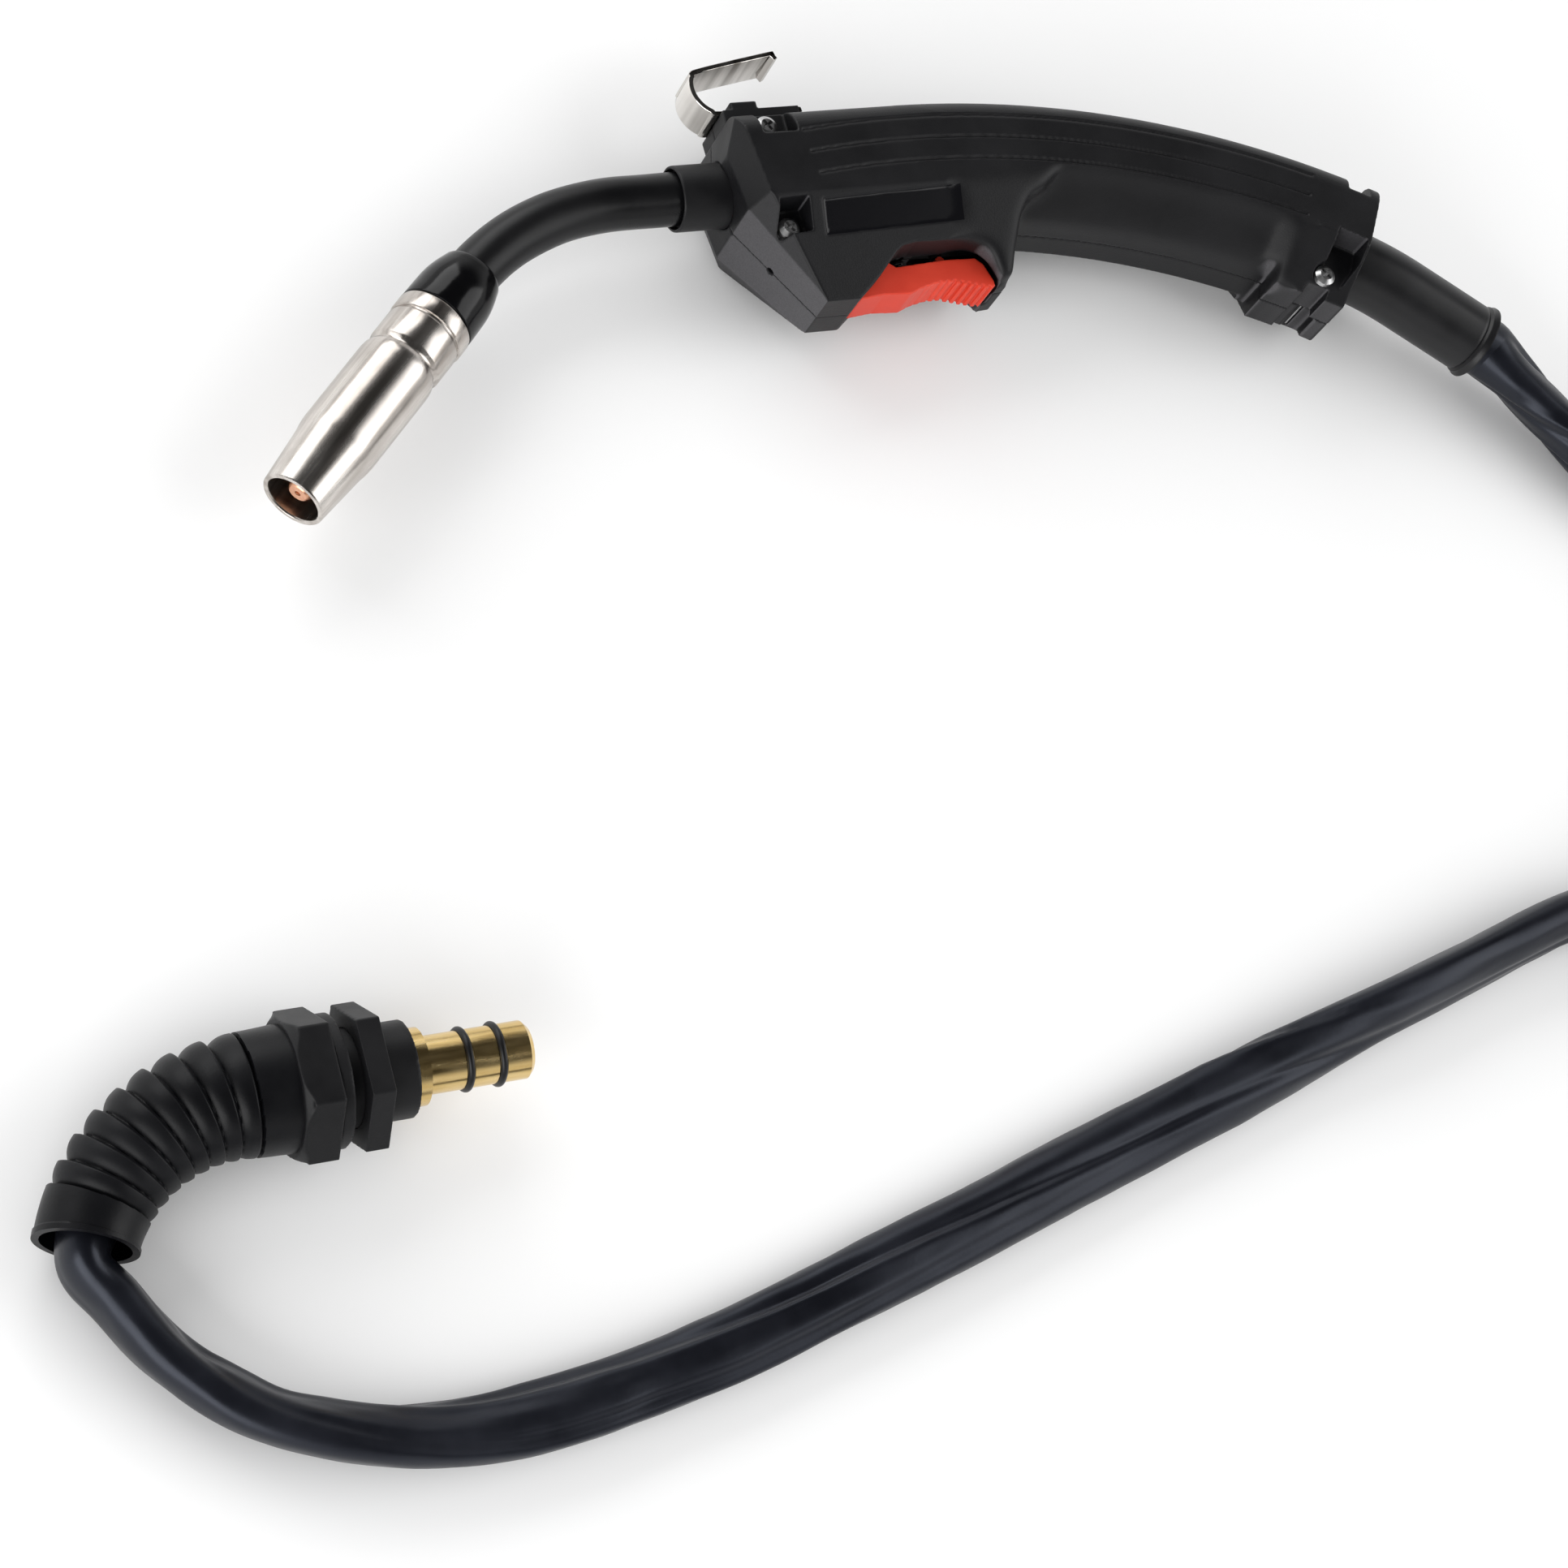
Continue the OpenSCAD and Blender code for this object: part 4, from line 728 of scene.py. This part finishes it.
def make_hook():
    """The hanging hook: bright strip, bent round, with rounded edges."""
    seat_y = 0.01805
    bends = [
        (0.0345, -0.0021), (0.0343, -0.0008), (0.0334, 0), (0.0156, 0), (0.0134, 0.0008),
        (0.0115, 0.0026), (0.0103, 0.0052), (0.0102, 0.0079), (0.0110, 0.0099),
        (0.0129, 0.0112), (0.0308, 0.0143), (0.0319, 0.0141), (0.0326, 0.0130),
    ]
    line = smooth([(a, seat_y + b, 0) for a, b in bends], 6)
    half_w, half_t, edge = 0.005, 0.0006, 0.00022
    corner = [(math.cos(a), math.sin(a)) for a in (0, math.pi / 6, math.pi / 3, math.pi / 2)]
    outline = (
        [(half_t - edge + edge * c, half_w - edge + edge * s) for c, s in corner]
        + [(-half_t + edge - edge * s, half_w - edge + edge * c) for c, s in corner]
        + [(-half_t + edge - edge * c, -half_w + edge - edge * s) for c, s in corner]
        + [(half_t - edge + edge * s, -half_w + edge - edge * c) for c, s in corner]
    )
    verts = []
    for i, p in enumerate(line):
        along = (line[min(i + 1, len(line) - 1)] - line[max(i - 1, 0)]).normalized()
        side = Vector((-along.y, along.x, 0))
        verts += [TORCH @ (p + side * t + Vector((0, 0, w))) for t, w in outline]
    n = len(outline)
    faces = grid_faces(len(line), n)
    faces += [tuple(range(n))[::-1], tuple((len(line) - 1) * n + k for k in range(n))]
    hook = new_object("hook_strap", verts, faces, HOOK_STEEL, 30)
    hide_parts("hanging_hook")
    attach(hook, "torch")


# ---- rear sleeve, lead and boot ----
def make_rear_sleeve():
    """Soft sleeve at the handle's rear, with a thin flange and a groove at its end."""
    seated, steps, bore_r = 0.004, 80, 0.0072
    line = [
        droop_point(-seated + (SLEEVE_LEN + seated) * i / steps) for i in range(steps + 1)
    ]
    runs = run_along(line)
    total = runs[-1]

    def radius(i):
        """Outer radius: flange, groove's two steps, then the plain sleeve."""
        left = total - runs[i]
        if left < 0.0011:
            return 0.00935
        if left < 0.0017:
            return 0.0089
        if left < 0.0027:
            return 0.0082
        return 0.0085

    rings = line + line[::-1]
    verts, n = [], 64
    frames = frames_along(line)
    for i in range(len(rings)):
        j = i if i < len(line) else 2 * len(line) - 1 - i
        side, up = frames[j]
        r = radius(j) if i < len(line) else bore_r
        for k in range(n):
            a = 2 * math.pi * k / n
            verts.append(rings[i] + side * (r * math.cos(a)) + up * (r * math.sin(a)))
    sleeve = new_object("sleeve_rubber", verts, grid_faces(len(rings), n, True), SLEEVE_BLACK, 40)
    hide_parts("rear_sleeve")
    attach(sleeve, "torch")


def lead_line():
    """The lead's centre line from inside the rear sleeve to the gland."""
    start = [droop_point(SLEEVE_LEN * k / 6) for k in range(4, 7)]
    front = smooth([droop_point(HELD_LEN), *FRONT_ROUTE, coil_point(0)], 12)
    steps = int(2 * LAYER_TURNS * 48)
    coil = [coil_point(2 * LAYER_TURNS * i / steps) for i in range(1, steps + 1)]
    sag = Vector((0, 0, -0.0009))
    in_boot = [
        boot_point(s) + (sag if s > 0.030 else Vector((0, 0, 0)))
        for s in (
            BOOT_LEN + 0.002, BOOT_LEN - 0.010, BOOT_LEN - 0.022, BOOT_STRAIGHT + 0.012,
            BOOT_STRAIGHT + 0.004,
        )
    ]
    rear = smooth([coil_point(2 * LAYER_TURNS), *REAR_ROUTE, *in_boot, boot_point(0.008)], 12)
    return start + front + coil + rear[1:], len(start + front), len(start + front + coil)


def between(marks, x):
    """Eased value at x between (position, value) marks."""
    if x <= marks[0][0]:
        return marks[0][1]
    for (x0, y0), (x1, y1) in zip(marks, marks[1:]):
        if x <= x1:
            t = (x - x0) / (x1 - x0)
            return y0 + (y1 - y0) * t * t * (3 - 2 * t)
    return marks[-1][1]


def make_lead():
    """The lead in its loose sheath, which flattens and twists where it lies free."""
    line, coil_from, coil_to = lead_line()
    runs = run_along(line)
    total = runs[-1]
    round_r = LEAD_D / 2 - 0.0001
    front_half, rear_half = (0.0084, 0.0056), (0.0077, 0.0053)
    held_front, held_rear, end_fade, coil_fade = 0.014, 0.034, 0.014, 0.03
    # run behind the coil, and how far the flattened sheath is rolled there
    rear_twist = [
        (0, 60), (0.06, 84), (0.13, 76), (0.21, 12), (0.30, -8), (0.37, -20), (0.42, -50),
        (0.47, -84),
    ]
    # run before the gland, way round, length and depth of each dent
    dents = [
        (0.078, 0.5, 0.006, 0.22), (0.098, 0.3, 0.008, 0.16), (0.132, 1.0, 0.012, 0.12),
        (0.176, 2.2, 0.010, 0.14), (0.214, 1.0, 0.016, 0.10), (0.300, 1.9, 0.012, 0.12),
        (0.348, 1.2, 0.020, 0.10), (0.402, 2.0, 0.010, 0.10),
    ]

    def looseness(i):
        """0 where the sheath is held round, 1 where it lies free."""
        if coil_from <= i <= coil_to:
            return 0.0
        from_coil = (runs[coil_from] - runs[i]) if i < coil_from else (runs[i] - runs[coil_to])
        from_end = min(runs[i] - held_front, total - held_rear - runs[i])
        k = min(max(from_coil / coil_fade, 0), max(from_end / end_fade, 0), 1)
        return k * k * (3 - 2 * k)

    def fold(b, at, width, depth):
        """A long crease with a soft ridge beside it."""
        x = math.sin((b - at) / 2) / width
        y = math.sin((b - at - 2.6 * width) / 2) / width
        return depth * (math.exp(-x * x) - 0.55 * math.exp(-y * y))

    def section(i, a):
        """Offset of the sheath's skin: round where held, else flat, creased and dented."""
        s, k = runs[i], looseness(i)
        if i < coil_from:
            (wide, tall), roll = front_half, math.radians(50) + (s - 0.03) * 16
            lines = (
                (0.6 + s * 34, 0.12, 0.22), (2.9 + s * 38, 0.10, 0.17), (4.6 + s * 30, 0.08, 0.10),
            )
        else:
            u = s - runs[coil_to]
            (wide, tall), roll = rear_half, math.radians(between(rear_twist, u))
            lines = (
                (1.15 + 0.5 * math.sin(u * 11), 0.13, 0.13),
                (2.35 + 0.4 * math.sin(u * 17 + 2), 0.10, 0.07 + 0.05 * math.sin(u * 23)),
                (0.25 + 0.7 * math.sin(u * 14 + 1), 0.09, 0.06 + 0.05 * math.sin(u * 31 + 1)),
            )
        b = a - roll
        flat = 1 / math.hypot(math.cos(b) / wide, math.sin(b) / tall)
        crease = sum(fold(b, at, width, depth) for at, width, depth in lines)
        c, d = math.cos(b), math.sin(b)
        ripple = 0.05 * noise.noise(Vector((s * 34, c * 1.3, d * 1.3)))
        ripple += 0.022 * noise.noise(Vector((s * 120, c * 2.1, d * 2.1)))
        ripple -= sum(
            depth * math.exp(
                -(((total - s - at) / long) ** 2) - (math.sin((a - way) / 2) / 0.3) ** 2
            )
            for at, way, long, depth in dents
        )
        r = round_r + k * (flat * (1 - crease + ripple) - round_r)
        drop = 0.0
        if i > coil_to:
            low = math.hypot(wide * math.sin(roll), tall * math.cos(roll))
            near = min(max((0.0095 - line[i].z) / 0.0014, 0), 1)
            drop = k * near * max(line[i].z - 0.0003 - low, 0)
        return r * math.cos(a), r * math.sin(a) - drop

    lead = swept("lead_sheath", line, section, 72, SHEATH_BLACK, floor=True)
    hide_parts("lead_front_run", "lead_coil", "lead_rear_run")
    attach(lead, "torch")
    return lead, line


def make_boot():
    """The bend boot: a smooth collar, deep overlapping folds, and a thin open end."""
    folds, plain, count, n = 8, 0.008, 300, 120
    rise, fold_outside, fold_inside = 0.18, 0.0009, 0.0011
    lip, lip_len, end_wall, fold_wall, uneven = 0.0003, 0.0012, 0.0012, 0.0032, 0.00008
    pitch = (BOOT_LEN - BOOT_COLLAR - plain) / folds
    stations = [BOOT_LEN * i / count for i in range(count + 1)]

    def fold(s, a):
        """0 on a fold's crest to 1 in its root; steep on the side of the gland."""
        at = (s - BOOT_COLLAR) / pitch + 0.16 * (1 - math.cos(a - 0.9))
        if at < 0 or at > folds:
            return 0.0
        f = at % 1
        return (1 - f / rise) ** 1.3 if f < rise else ((f - rise) / 0.82) ** 2.6 * 0.9

    line = [boot_point(s) for s in stations]
    line = line + line[::-1]
    verts = []
    frames = frames_along(line[: count + 1])
    for i, p in enumerate(line):
        j = i if i <= count else 2 * count + 1 - i
        s = stations[j]
        side, up = frames[j]
        full = (BOOT_D + (BOOT_END_D - BOOT_D) * s / BOOT_LEN) / 2
        for k in range(n):
            a = 2 * math.pi * k / n
            inner = 0.5 + 0.5 * math.cos(a)
            if i <= count:
                r = full - (fold_outside + fold_inside * inner) * fold(s, a)
                if s > BOOT_LEN - lip_len:
                    r = full + lip
            elif s < BOOT_COLLAR + 0.0005:
                r = BOOT_SEAT_R
            else:
                r = full - (end_wall if s > BOOT_LEN - plain else fold_wall)
            r += uneven * noise.noise(Vector((s * 200, math.cos(a) * 2, math.sin(a) * 2)))
            v = p + side * (r * math.cos(a)) + up * (r * math.sin(a))
            v.z = max(v.z, FLOOR_LIFT)
            verts.append(v)
    boot = new_object("boot_rubber", verts, grid_faces(len(line), n, True), BOOT_BLACK, 60)
    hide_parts("lead_boot")
    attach(boot, "torch")
    return boot


def make_gland():
    """The gland's nut and body and the panel's lock nut, as moulded pieces."""
    made = []
    for node, name in (
        ("gland_nut", "nut_black"), ("gland_body", "gland_black"),
        ("lock_nut", "lock_nut_black"),
    ):
        piece = softened(node, name, FINE_VOXEL, 2, COLLAR_BLACK)
        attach(piece, "torch")
        made.append(piece)
    return made


def make_ties():
    """Two straps round the coil's bundle, as wide as its layers, with rounded corners."""
    corner = LEAD_D / 2
    low = COIL_R - LEAD_D / 2 - 0.0004
    wide = COIL_STEP * LAYER_TURNS + LEAD_D + 0.0008
    tall = COIL_Z + COIL_STEP + LEAD_D / 2 - TIE_T
    half_w, n = 0.0045, 10
    verts, faces = [], []
    for degrees in (-75, 25):
        place = Matrix.Translation((*COIL_CENTRE, 0)) @ turn("Z", degrees)
        path = []
        for x, z, start in (
            (low + wide - corner, TIE_T + corner, -90),
            (low + wide - corner, TIE_T + tall - corner, 0),
            (low + corner, TIE_T + tall - corner, 90), (low + corner, TIE_T + corner, 180),
        ):
            for k in range(n + 1):
                a = math.radians(start + 90 * k / n)
                path.append((x, z, math.cos(a), math.sin(a)))
        first = len(verts)
        for x, z, c, d in path:
            for depth, half in ((0, 0.92), (0.3, 1), (0.7, 1), (1, 0.92), (1, -0.92), (0.7, -1),
                                (0.3, -1), (0, -0.92)):
                r = corner + TIE_T * depth * 0.98
                verts.append(place @ Vector((x + r * c, half_w * half, z + r * d)))
        faces += [tuple(first + k for k in f) for f in grid_faces(len(path), 8, True)]
    ties = new_object("tie_straps", verts, faces, TIE_BLACK, 50)
    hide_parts("coil_ties")
    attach(ties, "torch")
    return ties


def dress_nodes():
    """Finishes for the solids that show as they are; the trigger's spring and the switch plunger
    are black as painted shade in the trigger's slot.
    """
    looks = {
        "tip_holder": BRASS, "nozzle_spring": STEEL, "neck_tube": BRASS, "wire_liner": STEEL,
        "neck_nut": BRASS, "cable_block": BRASS, "crimp_ferrule": STEEL,
        "core_cable": SHEATH_BLACK, "shell_screws": STEEL, "trigger_pin": STEEL,
        # trigger_spring and switch_plunger are black as painted shade, not their own colour
        "trigger_spring": SEAL_BLACK, "microswitch": COLLAR_BLACK, "switch_plunger": SEAL_BLACK,
        "switch_wires": TRIGGER_RED, "sheath_clamp": STEEL, "inlet_spigot": BRASS,
        "inlet_seals": SEAL_BLACK,
    }
    for node, material in looks.items():
        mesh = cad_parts[node].data
        mesh.materials.clear()
        mesh.materials.append(material)


# ---- floor and light ----
FLOOR_GREY, WHITE_FROM, WHITE_AT = 0.86, 0.5, 1.1
ROOM_LIGHT, CEILING_LIGHT, WALL_TOP, CEILING_FROM = 0.55, 0.04, 0.3, 0.56


def make_floor():
    """A pale floor that shows as plain white away from the torch."""
    size = 6
    verts = [(-size, -size, 0), (size, -size, 0), (size, size, 0), (-size, size, 0)]
    material, nodes, links, shader = node_material("pale floor")
    shader.inputs["Base Color"].default_value = (FLOOR_GREY, FLOOR_GREY, FLOOR_GREY, 1)
    shader.inputs["Roughness"].default_value = 0.6
    shader.inputs["Specular IOR Level"].default_value = 0.2
    away = nodes.new("ShaderNodeVectorMath")
    away.operation = "LENGTH"
    links.new(place_coords(nodes, links), away.inputs[0])
    far = spread(nodes, links, away.outputs["Value"], 0, 1, WHITE_FROM, WHITE_AT)
    rays = nodes.new("ShaderNodeLightPath").outputs
    shown = joined(nodes, links, rays["Is Camera Ray"], rays["Is Glossy Ray"], "MAXIMUM")
    shown = joined(nodes, links, shown, rays["Is Transmission Ray"], "MAXIMUM")
    white = nodes.new("ShaderNodeEmission")
    mix = nodes.new("ShaderNodeMixShader")
    links.new(joined(nodes, links, far, shown), mix.inputs["Fac"])
    links.new(shader.outputs["BSDF"], mix.inputs[1])
    links.new(white.outputs["Emission"], mix.inputs[2])
    links.new(mix.outputs["Shader"], nodes["Material Output"].inputs["Surface"])
    floor = new_object("floor", verts, [(0, 1, 2, 3)], material)


def area_light(name, at, target, size, power):
    """A rectangular lamp that looks from one place to another."""
    data = bpy.data.lights.new(name, "AREA")
    data.shape = "RECTANGLE"
    data.size, data.size_y = size
    data.energy = power
    light = bpy.data.objects.new(name, data)
    scene.collection.objects.link(light)
    at, target = Vector(at), Vector(target)
    light.matrix_world = (
        Matrix.Translation(at) @ (target - at).to_track_quat("-Z", "Y").to_matrix().to_4x4()
    )


def make_light():
    """A pale room whose ceiling reflects dimmer, and three large soft lamps."""
    world = bpy.data.worlds.new("studio")
    scene.world = world
    world.use_nodes = True
    nodes, links = world.node_tree.nodes, world.node_tree.links
    soft = nodes["Background"]
    soft.inputs["Color"].default_value = (1, 1, 1, 1)
    soft.inputs["Strength"].default_value = ROOM_LIGHT
    seen = nodes.new("ShaderNodeBackground")
    way = nodes.new("ShaderNodeSeparateXYZ")
    links.new(nodes.new("ShaderNodeTexCoord").outputs["Generated"], way.inputs["Vector"])
    ceiling = spread(
        nodes, links, way.outputs["Z"], 1, CEILING_LIGHT, WALL_TOP, CEILING_FROM
    )
    rays = nodes.new("ShaderNodeLightPath").outputs
    straight = joined(nodes, links, rays["Is Camera Ray"], rays["Is Transmission Ray"], "MAXIMUM")
    links.new(joined(nodes, links, straight, ceiling, "MAXIMUM"), seen.inputs["Strength"])
    mix = nodes.new("ShaderNodeMixShader")
    links.new(
        joined(nodes, links, straight, rays["Is Glossy Ray"], "MAXIMUM"), mix.inputs["Fac"]
    )
    links.new(soft.outputs["Background"], mix.inputs[1])
    links.new(seen.outputs["Background"], mix.inputs[2])
    links.new(mix.outputs["Shader"], nodes["World Output"].inputs["Surface"])
    middle = (-0.05, -0.10, 0)
    area_light("front light", (-1.1, -0.8, 0.5), middle, (1.3, 0.8), 13)
    area_light("back light", (-0.5, 1.1, 0.8), middle, (1.6, 0.9), 13)
    area_light("side light", (1.1, -0.5, 0.9), middle, (1.4, 1.0), 11)


scene.view_settings.view_transform = "Standard"
make_camera()
lead, lead_path = make_lead()
boot = make_boot()
gland_pieces = make_gland()
ties = make_ties()
make_rear_sleeve()
make_nozzle()
make_tip()
make_cap()
make_neck()
make_collar()
make_handle()
make_trigger()
make_hook()
dress_nodes()
make_floor()
make_light()
